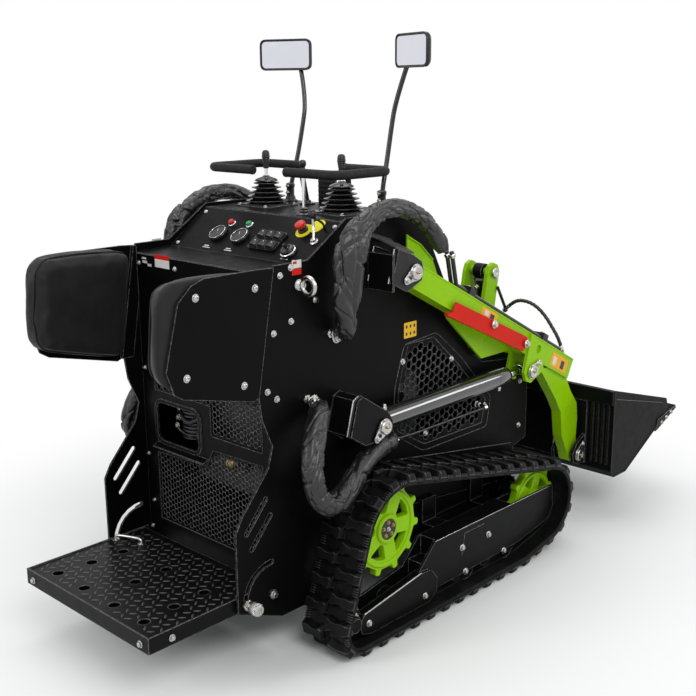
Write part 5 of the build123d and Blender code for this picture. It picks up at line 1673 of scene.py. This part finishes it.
def bucket_details():
    """Coupler lever, bucket seams and the welds along its sheets."""
    kit = Kit("zinc", "black_gloss", "black_steel")
    kit.tube(smooth_line([(1103, -300, 447), (1140, -300, 447), (1156, -300, 446), (1159, -300, 434),
                          (1159, -300, 360), (1159, -300, 246)], 5), 7.6, 16)
    for z in (300, 385):
        kit.lathe((1159, -300, z - 8), UP, ((9, 0), (11, 2), (11, 14), (9, 16)), 24, 1)
    kit.lathe((1159, -300, 238), UP, ((9, 0), (11.6, 2), (11.6, 50), (9, 54)), 24)
    kit.build("coupler_lever", "bucket", bevel=0.4)
    kit = Kit("black_gloss", "black_steel", "zinc")
    for sign in (1, -1):
        y = sign * 530.6
        weld(kit, [(1183, y, 519), (1183, y, 203)], 2.6)
        weld(kit, [(1204, y, 177), (1291, y, 177), (1542, y, 308)], 2.6)
        kit.tube(at_side(((1192, 486), (1560, 392)), y), 1.6, 8, 1)
        kit.plate(rounded(((1520, 284), (1676, 346), (1672, 354), (1530, 330)), 3, 2), y, y + sign * 4, 1)
        for t in (0.2, 0.5, 0.8):
            bolt(kit, (1534 + 124 * t, y + sign * 4, 300 + 46 * t), (0, sign, 0), 6, "hex", 2)
    weld(kit, [(1183, -420, 466), (1183, 420, 466)], 2.6)
    kit.build("bucket_welds", "bucket")


fasteners()
controls()
for side_name, side_sign in SIDES:
    joystick(side_name, side_sign)
    mirror(side_name, side_sign)
    cylinder(f"lift_cylinder_{side_name}", LIFT_BASE, LIFT_PIN, ARM_Y * side_sign, 33, 676,
             f"lift_barrel_{side_name}", f"lift_barrel_{side_name}", base_port=1)
cylinder("tilt_cylinder", TILT_BASE, TILT_PIN, 0, 30, 400, "tilt_barrel", "tilt_barrel")
bar_ends()
pin_heads()
body_edges()
arm_details()
rod_eyes()
body_fittings()
latch()
engine_bits()
labels()
bucket_details()


# Stage and light

FLOOR_PALE = ((0.86, 0.86, 0.86, 1.0), (0.88, 0.88, 0.88, 1.0))
FADE_START, FADE_END = 0.8, 2.0


def stage_material():
    """A pale floor that turns into the white background away from the object."""
    material = bpy.data.materials.new("stage_white")
    g = Graph(material)
    shader = g.nodes["Principled BSDF"]
    set_inputs(shader, Roughness=0.9, Specular_IOR_Level=0.05)
    speckle = g.node("TexNoise", Scale=40.0)
    g.link(g.blend(speckle.outputs["Fac"], *FLOOR_PALE), shader.inputs["Base Color"])
    away = g.node("VectorMath")
    away.operation = "LENGTH"
    g.link(g.node("NewGeometry").outputs["Position"], away.inputs[0])
    far = g.node("MapRange", From_Min=FADE_START, From_Max=FADE_END)
    far.interpolation_type = "SMOOTHSTEP"
    g.link(away.outputs["Value"], far.inputs["Value"])
    white = g.node("Emission", Color=WHITE, Strength=1.0)
    g.surface(g.times(far.outputs["Result"], g.seen()), shader.outputs["BSDF"], white.outputs["Emission"],
              "Material Output")
    return material


def make_floor():
    mesh = bpy.data.meshes.new("floor")
    size = 40
    corners = [(x, y, 0) for x, y in oblong(-size, size, -size, size)]
    mesh.from_pydata(corners, [], [(0, 1, 2, 3)])
    mesh.materials.append(stage_material())
    put("floor", mesh)


def make_world():
    """White where the camera, a reflection or a glass sees it, and a soft grey for the light it gives."""
    world = bpy.data.worlds.new("studio")
    bpy.context.scene.world = world
    g = Graph(world)
    soft = g.nodes["Background"]
    set_inputs(soft, Color=(0.97, 0.985, 1.0, 1.0), Strength=0.5)
    white = g.node("Background", Color=WHITE, Strength=1.0)
    g.surface(g.seen(), soft.outputs["Background"], white.outputs["Background"], "World Output")


def softbox(name, at, target, size, power):
    data = bpy.data.lights.new(name, "AREA")
    data.shape = "RECTANGLE"
    data.size, data.size_y = size
    data.energy = power
    lamp = put(name, data)
    lamp.location = at
    lamp.rotation_euler = (Vector(target) - Vector(at)).to_track_quat("-Z", "Y").to_euler()


make_floor()
make_world()
for light in (("key", (-1.8, -3.4, 3.6), (0, 0, 0.6), (2.6, 1.8), 88),
              ("top", (0.4, 0.6, 4.2), (0, 0, 0.4), (3.2, 2.4), 62),
              ("side", (-4.4, 1.4, 2.9), (0, 0, 0.7), (1.4, 1.8), 40),
              ("front", (3.2, -3.2, 2.6), (0.2, -0.3, 0.6), (1.6, 1.0), 34)):
    softbox(*light)
